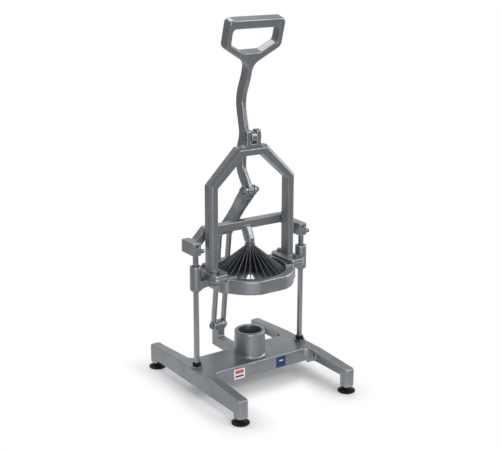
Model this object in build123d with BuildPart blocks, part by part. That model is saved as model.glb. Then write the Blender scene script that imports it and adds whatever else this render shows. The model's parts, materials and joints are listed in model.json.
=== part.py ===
"""Table-top lever press that pushes a ring of radial blades down over a fruit or a vegetable."""

import os
from math import atan2, cos, degrees, hypot, radians, sin

from build123d import *

os.makedirs("parts", exist_ok=True)


def finish(piece, name):
    """Label one finished piece and write its STEP file."""
    piece.part.label = name
    export_step(piece.part, f"parts/{name}.step")


# ---------------------------------------------------------------- driving dimensions, mm
# X runs across the press, Y from the front to the back, Z up from the table.
rod_d = 9.5
rod_x = 108.0                 # half the distance between the guide rods
seat_gap = 0.05               # a piece seated for good in its bore
run_gap = 0.08                # a rod in its bushing, or a pin in its eye
side_gap = 0.4                # between flanks that move past each other
hole_over = 1.0               # a blind hole goes this much past the end of its screw

# base casting
rail_w = 20.0
rail_out = 1.0                # rail's middle outside the rod's
rail_half = 135.0             # from the rods to a foot's centre
rail_bottom = 18.5
plate_top = 48.0
rail_fall = 5.2               # how far a rail's top drops towards its ends
cast_wall = 4.0
top_wall = 5.0
plate_half = 37.0             # from the rods to the plate's front and rear faces
skirt_bottom = 23.5           # lower edge of the plate's front and rear walls
corner_r = 12.0
corner_run = 1.0              # straight stretch from a round corner to a rail's slope
base_edge = 1.5               # rounding along the top
rib_y = 58.0
rib_bottom = 32.0
corner_bottom = 31.0          # under the round corners
post_deep = 19.0              # a post over a foot, front to back
post_r = 5.5
post_bottom = 10.0
boss_d = 20.0
rod_boss_bottom = 30.0
bolt_boss_d = 34.0
bolt_boss_deep = 14.0
arm_w = 15.0
arm_bottom = 28.0
link_foot_y = 102.0           # lower pivot of the link
link_foot_rise = 20.0         # its height over the plate
ear_r = 10.0

# feet
foot_d = 30.0
foot_neck_d = 13.0
foot_pad = 2.2                # straight rim of the pad
foot_neck_z = 7.4
foot_screw_d = 5.0
foot_screw_bite = 12.0
foot_head_d = 9.0
foot_head_t = 2.6
foot_recess = 4.0
foot_edge = 0.8               # chamfer under the pad, and room round a screw's head
foot_sweep = (0.6, 0.9)       # how far the pad's back curves in from straight

# pedestal
pedestal_d = 53.0
pedestal_tall = 45.0
pedestal_bore = 41.0
pedestal_deep = 32.0
pedestal_bead = 2.4           # how far the cast bead stands out at its foot
pedestal_bead_tall = 4.0
pedestal_draft = 0.6          # the wall leans in this much towards its top
pedestal_edge = 1.5
pedestal_bolt_d = 8.0
pedestal_bolt_bite = 9.0

# rod fasteners
rod_thread_d = 8.0
rod_nut_w = 13.0
rod_nut_t = 5.2
rod_tail = 9.0                # thread below its boss
collar_w = 19.0
collar_t = 3.6
bumper_d = 14.5
bumper_t = 5.5
bumper_edge = 1.2

# crossbar on top of the rods
bar_front = 10.0
bar_deep = 15.0
bar_tall = 15.0
bar_edge = 1.2
bar_sink = 0.5                # how far the bar runs into its blocks
bar_rise = 8.0                # bar's top over the lug's
block_w = 15.0
block_front = -6.7
block_back = 32.4
block_drop = 5.1              # block's lower face under the lug's
block_tall = 22.0
block_edge = 1.2
block_roof = 2.6              # metal left over the end of a rod
lug_w = 13.6
lug_clear = 1.5               # between the core's top and the lug
lug_tall = 27.5
lug_slope_y = 4.0
lug_slope_tall = 26.5         # where the lug's top starts to fall to the front
lug_nose_tall = 7.0
lug_edge = 4.0
lug_root = 7.0                # how far behind the bar's front it joins
ejector_d = 9.0
ejector_short = 2.0           # its end stays this far inside the core tube
ejector_edge = 0.8
ejector_seat = 7.0
clamp_d = 5.0
clamp_head_d = 7.0
clamp_head_long = 8.5
clamp_up = 5.2                # over the block's lower face
set_screw_d = 6.0
set_screw_up = 15.6
set_screw_sunk = 0.6
set_socket_w = 3.0            # across corners

# blade ring
ring_bore_r = 61.0
ring_wall = 14.5
ring_bottom = 182.0           # with the handle up
ring_tall = 24.0
ring_flat = 4.5               # how much the flat face at the front cuts off
ring_edge = 1.4
pad_x = 76.0
pad_front = -36.0
pad_back = 32.0
pad_r = 12.0
seat_rise = 4.0               # seats of the yoke over the ring's top
seat_in = 62.0
seat_out = 94.0
seat_deep = 7.0
boss_lift = 2.0               # rod bosses start this far over the ring's lower face
boss_tall = 44.0
boss_edge = 3.0
arm_half = 10.0
arm_drop = 3.0                # arm's top under the ring's
arm_tall = 15.0
arm_arch = 6.0
arm_root = 6.0                # how far an arm runs into the ring's flange
bushing_wall = 1.5

# blades
blade_count = 28
blade_t = 1.0
blade_gap = 0.1               # between a blade's end and the ring's bore
blade_lift = 8.5              # lower corner of a blade over the ring's lower face
blade_end_tall = 11.5         # height of a blade at the ring
blade_root_lift = 8.0         # how far its lower edge rises towards the core tube
cone_rise = 45.0              # how far its upper edge does
retainer_in = 56.5
retainer_lift = 2.2
core_d = 13.0
core_bore = 10.4
core_drop = 4.5               # core tube's mouth under the blades' inner ends
collar_disc_d = 18.0
collar_disc_t = 3.0

# yoke
yoke_clear = 5.9              # between a clamp screw's head and the upright beside it
yoke_front = -12.0
yoke_back = 8.0
upright_w = 15.4
yoke_room = 116.5             # from the crossbar to the yoke's head: the stroke and some more
head_t = 15.0
shoulder_drop = 57.2          # from the head's top to where the uprights turn in
inner_drop = 5.3              # and how much lower they do on the inside
head_half = 18.5
bevel = 5.0
back_round = 4.0
flange_t = 6.0
flange_edge = 2.0
yoke_screw_d = 5.0
yoke_screw_head_d = 8.5
yoke_screw_head_t = 5.0
yoke_screw_bite = 5.0
yoke_socket_w = 4.0
yoke_socket_floor = 1.0
yoke_screw_y = 24.0           # each side of the flange's middle

# lever pivot on top of the yoke
pivot_y = -4.5
pivot_rise = 15.5             # over the yoke's head
pin_d = 8.0
slot_w = 11.6
slot_drop = 11.0              # from the pivot to the slot's floor
ear_t = 8.4
ear_foot = 6.0                # round corner where the ears' block stands on the yoke
ear_sink = 1.0                # how far that block and the uprights run into what carries them
ear_back = 2.0
ear_over = 12.0               # from the pivot to the ears' top
ear_round = 4.0
clip_d = 12.0
clip_t = 1.2
pin_over = 2.5                # pin beyond an ear's outer face
pin_edge = 0.6

# lever
hub_r = 9.5
lever_bushing_wall = 1.0
shank_t = 10.0
shank_deep = 20.0
lever_edge = 3.0
web_half = 8.5                # half-height of the web from hub to shank
shank_corners = ((27.0, -60.5), (25.5, -25.0), (16.0, -2.0), (29.5, 58.0))   # Y, height over the pivot
shank_bends = (30.0, 40.0, 45.0, 60.0, 60.0)
knee_y = 4.0                  # pin that joins the lever to the link
knee_drop = 93.3              # its height under the lever's pivot
eye_r = 8.5
grip_y = 6.5                  # where the grip's root meets the shank
grip_rise = 119.0             # its height over the lever's pivot
grip_lean = 16.3              # degrees forward of upright
grip_tall = 78.5
grip_half = 54.0
grip_bends = (8.0, 12.0, 20.0)          # outer corners, from the top down
grip_window_bends = (6.0, 8.0, 8.0)
grip_bar = 15.7
grip_side = 9.5
grip_floor = 22.0             # bottom of the hand opening
grip_waist = 18.0             # half-width of the opening's bottom
grip_hand = 37.0              # where the opening's sides turn in
grip_hip = 30.0               # where the outer sides turn in
grip_crotch = 0.6             # where the outer sides would meet the shank
grip_tail = 16.0              # how far the grip's root runs down the shank
grip_bend = 24.0              # and where the shank bends below it

# link
bend_y = 79.5
bend_drop = 90.2              # from the knee pin to the link's bend
link_deep = 15.6
leg_deep = 11.6
link_end_r = 9.0
leg_t = 4.5
waist_t = 4.0
waist_half = 5.5
waist_high_drop = 34.7        # from the knee pin to the top of the waist
waist_low_drop = 55.7
fork_drop = 14.7
link_web_t = 3.6
link_web_sunk = 1.4           # web behind the sides' front edges
link_web_start = 14.0         # first of the web below the knee pin
washer_d = 15.0
washer_t = 1.8
knee_head_w = 11.0
knee_head_t = 3.8
knee_dome_r = 5.0             # dome of the nut at the link's upper end
foot_pin_head_d = 12.0
foot_pin_head_t = 3.6
foot_pin_clear = 0.3          # between the screws and the arm's flanks

# plain labels on the plate: middle in X, upper edge below the plate's top, width, height
labels = ((-46.0, 5.3, 22.0, 17.7), (40.8, 3.2, 19.5, 18.8))
label_t = 0.4
label_corner = 1.0

# ---------------------------------------------------------------- worked-out values
sides = (-1, 1)
side_names = {-1: "left", 1: "right"}
end_names = {-1: "front", 1: "rear"}
rail_x = rod_x + rail_out
rail_in = rail_x - rail_w / 2
channel_w = rail_w - cast_wall
post_top = plate_top - rail_fall
slope_start = plate_half + corner_r + corner_run
rail_end = rail_half + rail_w / 2
corners = [(sx * rail_x, sy * rail_half) for sx in sides for sy in sides]
rods = [(sx * rod_x, 0) for sx in sides]
rod_foot = rod_boss_bottom - rod_tail
pedestal_top = plate_top + pedestal_tall
pedestal_floor = pedestal_top - pedestal_deep
link_foot_z = plate_top + link_foot_rise
ring_top = ring_bottom + ring_tall
seat_top = ring_top + seat_rise
boss_bottom = ring_bottom + boss_lift
boss_top = boss_bottom + boss_tall
arm_top = ring_top - arm_drop
arm_low = arm_top - arm_tall
blade_low = ring_bottom + blade_lift
blade_high = blade_low + blade_end_tall
blade_under = blade_low + blade_root_lift
blade_apex = blade_high + cone_rise
retainer_bottom = ring_bottom + retainer_lift
core_bottom = blade_under - core_drop
core_top = blade_apex + collar_disc_t
ejector_end = core_bottom + ejector_short
lug_bottom = core_top + lug_clear
lug_top = lug_bottom + lug_tall
lug_slope_z = lug_bottom + lug_slope_tall
lug_nose_z = lug_bottom + lug_nose_tall
bar_top = lug_top + bar_rise
block_bottom = lug_bottom - block_drop
block_top = block_bottom + block_tall
clamp_z = block_bottom + clamp_up
set_screw_z = block_bottom + set_screw_up
rod_top = block_top - block_roof
yoke_half = rod_x - block_w / 2 - clamp_head_long - yoke_clear
head_under = bar_top + yoke_room
head_top = head_under + head_t
shoulder = head_top - shoulder_drop
inner_shoulder = shoulder - inner_drop
pivot_z = head_top + pivot_rise
slot_bottom = pivot_z - slot_drop
ear_top = pivot_z + ear_over
knee_z = pivot_z - knee_drop
grip_z = pivot_z + grip_rise
bend_z = knee_z - bend_drop
waist_high = knee_z - waist_high_drop
waist_low = knee_z - waist_low_drop
fork_low = knee_z - fork_drop
flange_mid = (pad_front + pad_back) / 2
flange_deep = pad_back - pad_front
flange_top = seat_top + flange_t
ring_r = ring_bore_r + ring_wall
bushing_bore_r = rod_d / 2 + run_gap
bushing_r = bushing_bore_r + bushing_wall
seat_mid = (seat_in + seat_out) / 2
yoke_screws = [(sx * seat_mid, flange_mid + sy * yoke_screw_y) for sx in sides for sy in sides]
foot_bushing_r = pin_d / 2 + bushing_wall
ears_half = slot_w / 2 + ear_t
hub_half = slot_w / 2 - side_gap
lever_bushing_r = pin_d / 2 + run_gap + lever_bushing_wall
fork_half = shank_t / 2 + side_gap + washer_t
leg_half = arm_w / 2 + side_gap + seat_gap


def rail_top(y):
    """Height of a rail's top at a distance y from the rods."""
    run = min(max(0.0, y - slope_start), rail_half - slope_start)
    return plate_top - rail_fall * run / (rail_half - slope_start)


def on_base_rim(edge):
    """True for an edge round the base's top, but not for a faint crease across a rail."""
    spots = [edge.position_at(share) for share in (0.0, 0.5, 1.0)]
    on_top = all(abs(spot.Z - rail_top(abs(spot.Y))) < 0.02 for spot in spots)
    crease = abs(spots[0].Y - spots[2].Y) < 0.01 and abs(spots[1].Y - spots[0].Y) < 0.01
    return on_top and not (crease and abs(spots[1].Y) > plate_half + 0.1)


# ---------------------------------------------------------------- base casting
with BuildPart() as base_casting:
    # side rails, with tops that fall towards both ends
    for side in sides:
        with BuildSketch(Plane.YZ.offset(side * rail_x - rail_w / 2)):
            with BuildLine():
                Polyline((-rail_half, rail_bottom), (rail_half, rail_bottom),
                         (rail_half, post_top), (slope_start, plate_top),
                         (-slope_start, plate_top), (-rail_half, post_top), close=True)
            make_face()
        extrude(amount=rail_w)
    # plate between the rails, with round inner corners
    with BuildSketch(Plane.XY.offset(skirt_bottom)) as plate:
        Rectangle(2 * rail_x, 2 * plate_half)
        for side in sides:
            with Locations((side * rail_x, 0)):
                Rectangle(rail_w, 2 * slope_start)
        inner_corners = plate.vertices().filter_by(
            lambda v: abs(v.X) < rail_in + 0.1 and abs(v.Y) < plate_half + 0.1)
        fillet(inner_corners, corner_r)
    extrude(amount=plate_top - skirt_bottom)
    # posts over the feet
    with BuildSketch(Plane.XY.offset(post_bottom)):
        for side in sides:
            for end in sides:
                with Locations((side * rail_x, end * (rail_end - post_deep / 2))):
                    RectangleRounded(rail_w, post_deep, post_r)
    extrude(amount=post_top - post_bottom)
    fillet(base_casting.edges().filter_by(on_base_rim), base_edge)
    # arm to the rear, with the ear that carries the link's lower pivot
    arm_back = link_foot_y + ear_r
    with BuildSketch(Plane.YZ.offset(-arm_w / 2)):
        with BuildLine():
            Polyline((link_foot_y - ear_r, link_foot_z), (link_foot_y - ear_r, plate_top),
                     (plate_half - cast_wall, plate_top), (plate_half - cast_wall, arm_bottom),
                     (arm_back, arm_bottom), (arm_back, link_foot_z))
            ThreePointArc((arm_back, link_foot_z), (link_foot_y, link_foot_z + ear_r),
                          (link_foot_y - ear_r, link_foot_z))
        make_face()
    extrude(amount=arm_w)
    # the underside: a channel in each rail, open inwards, with one short rib
    rib_near = rib_y - cast_wall / 2
    rib_far = rib_y + cast_wall / 2
    post_near = rail_end - post_deep + cast_wall / 2
    for side in sides:
        for end in sides:
            for y0, y1 in ((slope_start, rib_near), (rib_far, post_near)):
                with BuildSketch(Plane.YZ.offset(side * rail_in)):
                    with BuildLine():
                        Polyline((end * y0, 0), (end * y1, 0), (end * y1, rail_top(y1) - top_wall),
                                 (end * y0, rail_top(y0) - top_wall), close=True)
                    make_face()
                extrude(amount=side * channel_w, mode=Mode.SUBTRACT)
            for low, x0, y0, y1 in ((corner_bottom, rail_in - corner_r, plate_half, slope_start),
                                    (rib_bottom, rail_in, rib_near, rib_far)):
                with BuildSketch(Plane.XY):
                    with Locations((side * (x0 + rail_in + channel_w) / 2, end * (y0 + y1) / 2)):
                        Rectangle(rail_in + channel_w - x0, y1 - y0)
                extrude(amount=low, mode=Mode.SUBTRACT)
    with BuildSketch(Plane.XY):
        Rectangle(2 * (rail_in + channel_w), 2 * (plate_half - cast_wall))
    extrude(amount=plate_top - top_wall, mode=Mode.SUBTRACT)
    # bosses for the rods and for the pedestal's bolt
    with BuildSketch(Plane.XY.offset(rod_boss_bottom)):
        with Locations(*rods):
            Circle(boss_d / 2)
    extrude(amount=plate_top - rod_boss_bottom)
    with BuildSketch(Plane.XY.offset(plate_top - bolt_boss_deep)):
        Circle(bolt_boss_d / 2)
    extrude(amount=bolt_boss_deep)
    # holes for the rods, foot screws, pedestal bolt and link pivot
    with BuildSketch(Plane.XY.offset(plate_top)):
        with Locations(*rods):
            Circle(rod_d / 2 + seat_gap)
        Circle(pedestal_bolt_d / 2 + seat_gap)
    extrude(amount=-(plate_top - skirt_bottom), mode=Mode.SUBTRACT)
    with BuildSketch(Plane.XY.offset(post_bottom)):
        with Locations(*corners):
            Circle(foot_screw_d / 2 + seat_gap)
    extrude(amount=foot_screw_bite + hole_over, mode=Mode.SUBTRACT)
    with BuildSketch(Plane.YZ.offset(-arm_w / 2)):
        with Locations((link_foot_y, link_foot_z)):
            Circle(foot_bushing_r + seat_gap)
    extrude(amount=arm_w, mode=Mode.SUBTRACT)
finish(base_casting, "base_casting")

with BuildPart() as post_bushing:
    with BuildSketch(Plane.YZ.offset(-arm_w / 2)):
        with Locations((link_foot_y, link_foot_z)):
            Circle(foot_bushing_r)
            Circle(pin_d / 2, mode=Mode.SUBTRACT)
    extrude(amount=arm_w)
finish(post_bushing, "post_bushing")

# ---------------------------------------------------------------- feet
for side_x in sides:
    for side_y in sides:
        foot_x = side_x * rail_x
        foot_y = side_y * rail_half
        with BuildPart() as foot:
            with BuildSketch(Plane.XZ.offset(-foot_y)):
                with BuildLine():
                    rim = foot_x + foot_d / 2
                    neck = foot_x + foot_neck_d / 2
                    Polyline((neck, foot_neck_z), (neck, post_bottom), (foot_x, post_bottom),
                             (foot_x, 0), (rim - foot_edge, 0), (rim, foot_edge), (rim, foot_pad))
                    ThreePointArc((rim, foot_pad), ((rim + neck) / 2 - foot_sweep[0],
                                                    (foot_pad + foot_neck_z) / 2 - foot_sweep[1]),
                                  (neck, foot_neck_z))
                make_face()
            revolve(axis=Axis((foot_x, foot_y, 0), (0, 0, 1)))
            with BuildSketch(Plane.XY):
                with Locations((foot_x, foot_y)):
                    Circle(foot_head_d / 2 + foot_edge)
            extrude(amount=foot_recess, mode=Mode.SUBTRACT)
            with BuildSketch(Plane.XY):
                with Locations((foot_x, foot_y)):
                    Circle(foot_screw_d / 2 + seat_gap)
            extrude(amount=post_bottom, mode=Mode.SUBTRACT)
        finish(foot, f"foot_{end_names[side_y]}_{side_names[side_x]}")

with BuildPart() as foot_screws:
    with BuildSketch(Plane.XY.offset(foot_recess - foot_head_t)):
        with Locations(*corners):
            Circle(foot_head_d / 2)
    extrude(amount=foot_head_t)
    with BuildSketch(Plane.XY.offset(foot_recess)):
        with Locations(*corners):
            Circle(foot_screw_d / 2)
    extrude(amount=post_bottom + foot_screw_bite - foot_recess)
finish(foot_screws, "foot_screws")

# ---------------------------------------------------------------- pedestal
with BuildPart() as pedestal:
    with BuildSketch(Plane.XZ):
        with BuildLine():
            body_r = pedestal_d / 2
            bead_r = body_r + pedestal_bead
            hollow_r = pedestal_bore / 2
            foot_r = body_r + pedestal_draft
            bead_low = plate_top + pedestal_bead_tall / 5
            bead_mid = (body_r + pedestal_bead / 2, plate_top + pedestal_bead_tall / 2)
            Polyline((foot_r, plate_top + pedestal_bead_tall), (body_r, pedestal_top - pedestal_edge),
                     (body_r - pedestal_edge, pedestal_top), (hollow_r, pedestal_top),
                     (hollow_r - pedestal_edge, pedestal_floor), (0, pedestal_floor), (0, plate_top),
                     (bead_r, plate_top), (bead_r, bead_low))
            ThreePointArc((bead_r, bead_low), bead_mid, (foot_r, plate_top + pedestal_bead_tall))
        make_face()
    revolve(axis=Axis.Z)
    with BuildSketch(Plane.XY.offset(plate_top)):
        Circle(pedestal_bolt_d / 2 + seat_gap)
    extrude(amount=pedestal_bolt_bite + hole_over, mode=Mode.SUBTRACT)
finish(pedestal, "pedestal")

with BuildPart() as pedestal_bolt:
    bolt_seat = plate_top - bolt_boss_deep
    with BuildSketch(Plane.XY.offset(bolt_seat)):
        Circle(pedestal_bolt_d / 2)
    extrude(amount=bolt_boss_deep + pedestal_bolt_bite)
    with BuildSketch(Plane.XY.offset(bolt_seat)):
        RegularPolygon(rod_nut_w / 2, 6, major_radius=False)
    extrude(amount=-rod_nut_t)
finish(pedestal_bolt, "pedestal_bolt")

# ---------------------------------------------------------------- guide rods and their fasteners
for side in sides:
    with BuildPart() as guide_rod:
        with BuildSketch(Plane.XY.offset(rod_boss_bottom)):
            with Locations((side * rod_x, 0)):
                Circle(rod_d / 2)
        extrude(amount=rod_top - rod_boss_bottom)
        with BuildSketch(Plane.XY.offset(rod_foot)):
            with Locations((side * rod_x, 0)):
                Circle(rod_thread_d / 2)
        extrude(amount=rod_tail)
    finish(guide_rod, f"guide_rod_{side_names[side]}")

    with BuildPart() as bumper:
        with BuildSketch(Plane.XY.offset(plate_top + collar_t)):
            with Locations((side * rod_x, 0)):
                Circle(bumper_d / 2)
        extrude(amount=bumper_t)
        fillet(bumper.edges().group_by(Axis.Z)[-1], bumper_edge)
        with BuildSketch(Plane.XY.offset(plate_top + collar_t)):
            with Locations((side * rod_x, 0)):
                Circle(rod_d / 2 + seat_gap)
        extrude(amount=bumper_t, mode=Mode.SUBTRACT)
    finish(bumper, f"rod_bumper_{side_names[side]}")

with BuildPart() as rod_collars:
    with BuildSketch(Plane.XY.offset(plate_top)):
        with Locations(*rods):
            RegularPolygon(collar_w / 2, 6, major_radius=False, rotation=30)
            Circle(rod_d / 2 + seat_gap, mode=Mode.SUBTRACT)
    extrude(amount=collar_t)
finish(rod_collars, "rod_collars")

with BuildPart() as rod_nuts:
    with BuildSketch(Plane.XY.offset(rod_boss_bottom)):
        with Locations(*rods):
            RegularPolygon(rod_nut_w / 2, 6, major_radius=False, rotation=30)
            Circle(rod_thread_d / 2 + seat_gap, mode=Mode.SUBTRACT)
    extrude(amount=-rod_nut_t)
finish(rod_nuts, "rod_nuts")

# ---------------------------------------------------------------- plain labels on the plate's front
with BuildPart() as front_labels:
    with BuildSketch(Plane.XZ.offset(plate_half)):
        for label_x, label_drop, label_w, label_h in labels:
            with Locations((label_x, plate_top - label_drop - label_h / 2)):
                RectangleRounded(label_w, label_h, label_corner)
    extrude(amount=label_t)
finish(front_labels, "front_labels")

# ---------------------------------------------------------------- crossbar
# lug that holds the core ejector over the middle of the ring
with BuildPart() as lug:
    with BuildSketch(Plane.YZ):
        with BuildLine():
            Polyline((bar_front + lug_root, lug_top), (lug_slope_y, lug_slope_z), (-lug_w / 2, lug_nose_z),
                     (-lug_w / 2, lug_bottom), (lug_w / 2, lug_bottom),
                     (bar_front + lug_root, bar_top - bar_tall + bar_edge), close=True)
        make_face()
    extrude(amount=lug_w / 2, both=True)
    lug_sides = lug.edges().filter_by(lambda e: abs(e.center().X) > lug_w / 2 - 0.1)
    nose = lug_sides.filter_by(lambda e: e.center().Y < lug_slope_y - 0.1 and e.center().Z > lug_bottom + 0.1)
    fillet(nose, lug_edge)

# cranked bar: 45 degrees up from each block, then level
crank_x = rod_x - block_w / 2 + bar_sink
crank_top = block_top - bar_sink
crank_low = crank_top - bar_tall / cos(radians(45))
flat_x = crank_x - (bar_top - crank_top)
flat_low_x = crank_x - (bar_top - bar_tall - crank_low)
with BuildPart() as bar:
    with BuildSketch(Plane.XZ.offset(-bar_front)):
        with BuildLine():
            Polyline((-crank_x, crank_top), (-flat_x, bar_top), (flat_x, bar_top),
                     (crank_x, crank_top), (crank_x, crank_low), (flat_low_x, bar_top - bar_tall),
                     (-flat_low_x, bar_top - bar_tall), (-crank_x, crank_low), close=True)
        make_face()
    extrude(amount=-bar_deep)
    bar_rims = bar.faces().filter_by(Axis.Y).edges().filter_by(lambda e: abs(e.center().X) < crank_x - 0.1)
    fillet(bar_rims, bar_edge)

with BuildPart() as crossbar:
    with BuildSketch(Plane.XY.offset(block_bottom)):
        for side in sides:
            with Locations((side * rod_x, (block_front + block_back) / 2)):
                RectangleRounded(block_w, block_back - block_front, block_edge)
    extrude(amount=block_top - block_bottom)
    fillet(crossbar.edges().group_by(Axis.Z)[-1], block_edge - 0.2)
    add(bar.part)
    add(lug.part)
    with BuildSketch(Plane.XY.offset(block_bottom)):
        with Locations(*rods):
            Circle(rod_d / 2 + seat_gap)
    extrude(amount=rod_top + 0.2 - block_bottom, mode=Mode.SUBTRACT)
    with BuildSketch(Plane.XY.offset(lug_bottom)):
        Circle(ejector_d / 2 + seat_gap)
    extrude(amount=ejector_seat, mode=Mode.SUBTRACT)
    # set screws from the front and clamp screws from the right reach each rod
    with BuildSketch(Plane.XZ.offset(-block_front)):
        with Locations(*[(side * rod_x, set_screw_z) for side in sides]):
            Circle(set_screw_d / 2 + seat_gap)
    extrude(amount=block_front, mode=Mode.SUBTRACT)
    for side in sides:
        with BuildSketch(Plane.YZ.offset(side * rod_x + block_w / 2)):
            with Locations((0, clamp_z)):
                Circle(clamp_d / 2 + seat_gap)
        extrude(amount=-block_w / 2, mode=Mode.SUBTRACT)
finish(crossbar, "crossbar")

with BuildPart() as crossbar_set_screws:
    with BuildSketch(Plane.XZ.offset(-block_front - set_screw_sunk)):
        for side in sides:
            with Locations((side * rod_x, set_screw_z)):
                Circle(set_screw_d / 2)
                RegularPolygon(set_socket_w / 2, 6, mode=Mode.SUBTRACT)
    extrude(amount=block_front + rod_d / 2 + set_screw_sunk + seat_gap)
finish(crossbar_set_screws, "crossbar_set_screws")

with BuildPart() as crossbar_clamp_screws:
    for side in sides:
        with BuildSketch(Plane.YZ.offset(side * rod_x + rod_d / 2 + seat_gap)):
            with Locations((0, clamp_z)):
                Circle(clamp_d / 2)
        extrude(amount=(block_w - rod_d) / 2)
        with BuildSketch(Plane.YZ.offset(side * rod_x + block_w / 2)):
            with Locations((0, clamp_z)):
                Circle(clamp_head_d / 2)
        extrude(amount=clamp_head_long)
finish(crossbar_clamp_screws, "crossbar_clamp_screws")

with BuildPart() as ejector_pin:
    with BuildSketch(Plane.XY.offset(ejector_end)):
        Circle(ejector_d / 2)
    extrude(amount=lug_bottom + ejector_seat - seat_gap - ejector_end)
    chamfer(ejector_pin.edges().group_by(Axis.Z)[0], ejector_edge)
finish(ejector_pin, "ejector_pin")

# ---------------------------------------------------------------- blade ring
with BuildPart() as blade_ring:
    with BuildSketch(Plane.XY.offset(ring_bottom)):
        Circle(ring_r)
        with Locations((0, ring_flat - 1.5 * ring_r)):
            Rectangle(2 * ring_r, ring_r, mode=Mode.SUBTRACT)
    extrude(amount=ring_top - ring_bottom)
    chamfer(blade_ring.edges().group_by(Axis.Z)[-1], ring_edge)
    with BuildSketch(Plane.XY.offset(ring_bottom)):
        with Locations((0, flange_mid)):
            RectangleRounded(2 * pad_x, flange_deep, pad_r)
    extrude(amount=seat_top - ring_bottom)
    with BuildSketch(Plane.XY.offset(seat_top - seat_deep)):
        for side in sides:
            with Locations((side * seat_mid, flange_mid)):
                RectangleRounded(seat_out - seat_in, flange_deep, pad_r)
    extrude(amount=seat_deep)
    # bosses that run on the rods
    with BuildSketch(Plane.XY.offset(boss_bottom)):
        with Locations(*rods):
            Circle(boss_d / 2)
    extrude(amount=boss_top - boss_bottom)
    boss_rims = blade_ring.edges().filter_by(GeomType.CIRCLE).filter_by(
        lambda e: abs(e.arc_center.Z - boss_bottom) < 0.01 and abs(abs(e.arc_center.X) - rod_x) < 1)
    chamfer(boss_rims, boss_edge)
    # arms out to the bosses, arched below
    for side in sides:
        with BuildSketch(Plane.XZ.offset(-arm_half)):
            with BuildLine():
                root = side * (pad_x - arm_root)
                tip = side * (rod_x - boss_d / 4)
                foot_z = arm_low - arm_arch / 2
                Polyline((root, foot_z), (root, arm_top), (tip, arm_top), (tip, arm_low))
                ThreePointArc((tip, arm_low), ((root + tip) / 2, arm_low + arm_arch / 2), (root, foot_z))
            make_face()
        extrude(amount=2 * arm_half)
    # bores
    with BuildSketch(Plane.XY.offset(ring_bottom)):
        Circle(ring_bore_r)
    extrude(amount=seat_top - ring_bottom, mode=Mode.SUBTRACT)
    with BuildSketch(Plane.XY.offset(boss_bottom)):
        with Locations(*rods):
            Circle(bushing_r + seat_gap)
    extrude(amount=boss_top - boss_bottom, mode=Mode.SUBTRACT)
    with BuildSketch(Plane.XY.offset(seat_top)):
        with Locations(*yoke_screws):
            Circle(yoke_screw_d / 2 + seat_gap)
    extrude(amount=-yoke_screw_bite - seat_gap, mode=Mode.SUBTRACT)
finish(blade_ring, "blade_ring")

for side in sides:
    with BuildPart() as rod_bushing:
        with BuildSketch(Plane.XY.offset(boss_bottom)):
            with Locations((side * rod_x, 0)):
                Circle(bushing_r)
                Circle(bushing_bore_r, mode=Mode.SUBTRACT)
        extrude(amount=boss_top - boss_bottom)
    finish(rod_bushing, f"rod_bushing_{side_names[side]}")

# ---------------------------------------------------------------- blades, core and what holds them
blade_root = core_d / 2 + 2 * seat_gap
blade_end = ring_bore_r - blade_gap
blade_turn = 360 / blade_count
for first, set_name in ((0, "blades_odd"), (1, "blades_even")):
    with BuildPart() as blades:
        for number in range(first, blade_count, 2):
            heading = radians((number + 0.5) * blade_turn)
            blade_plane = Plane(origin=(0, 0, 0), x_dir=(cos(heading), sin(heading), 0),
                                z_dir=(sin(heading), -cos(heading), 0))
            with BuildSketch(blade_plane.offset(-blade_t / 2)):
                with BuildLine():
                    Polyline((blade_root, blade_under), (blade_end, blade_low),
                             (blade_end, blade_high), (blade_root, blade_apex), close=True)
                make_face()
            extrude(amount=blade_t)
    finish(blades, set_name)

with BuildPart() as core_tube:
    with BuildSketch(Plane.XY.offset(core_bottom)):
        Circle(core_d / 2)
        Circle(core_bore / 2, mode=Mode.SUBTRACT)
    extrude(amount=core_top - core_bottom)
finish(core_tube, "core_tube")

with BuildPart() as core_collar:
    with BuildSketch(Plane.XY.offset(blade_apex)):
        Circle(collar_disc_d / 2)
        Circle(core_d / 2 + seat_gap, mode=Mode.SUBTRACT)
    extrude(amount=collar_disc_t)
finish(core_collar, "core_collar")

with BuildPart() as blade_retainer:
    with BuildSketch(Plane.XY.offset(retainer_bottom)):
        Circle(ring_bore_r - seat_gap)
        Circle(retainer_in, mode=Mode.SUBTRACT)
    extrude(amount=blade_low - retainer_bottom)
finish(blade_retainer, "blade_retainer")

# ---------------------------------------------------------------- yoke
crown_x = yoke_half - (head_top - shoulder)


def on_outer_line(edge):
    """True for an edge of the yoke's arch that lies on its outer outline."""
    x, z = abs(edge.center().X), edge.center().Z
    upright = x > yoke_half - 0.1
    slope = x + z > shoulder + yoke_half - 0.1
    crown = z > head_top - 0.1
    return upright or slope or crown


# feet of the yoke, bolted to the ring
with BuildPart() as yoke_feet:
    with BuildSketch(Plane.XY.offset(seat_top)):
        for side in sides:
            with Locations((side * seat_mid, flange_mid)):
                RectangleRounded(seat_out - seat_in, flange_deep, pad_r)
    extrude(amount=flange_t)
    fillet(yoke_feet.edges().group_by(Axis.Z)[-1], flange_edge)

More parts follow.
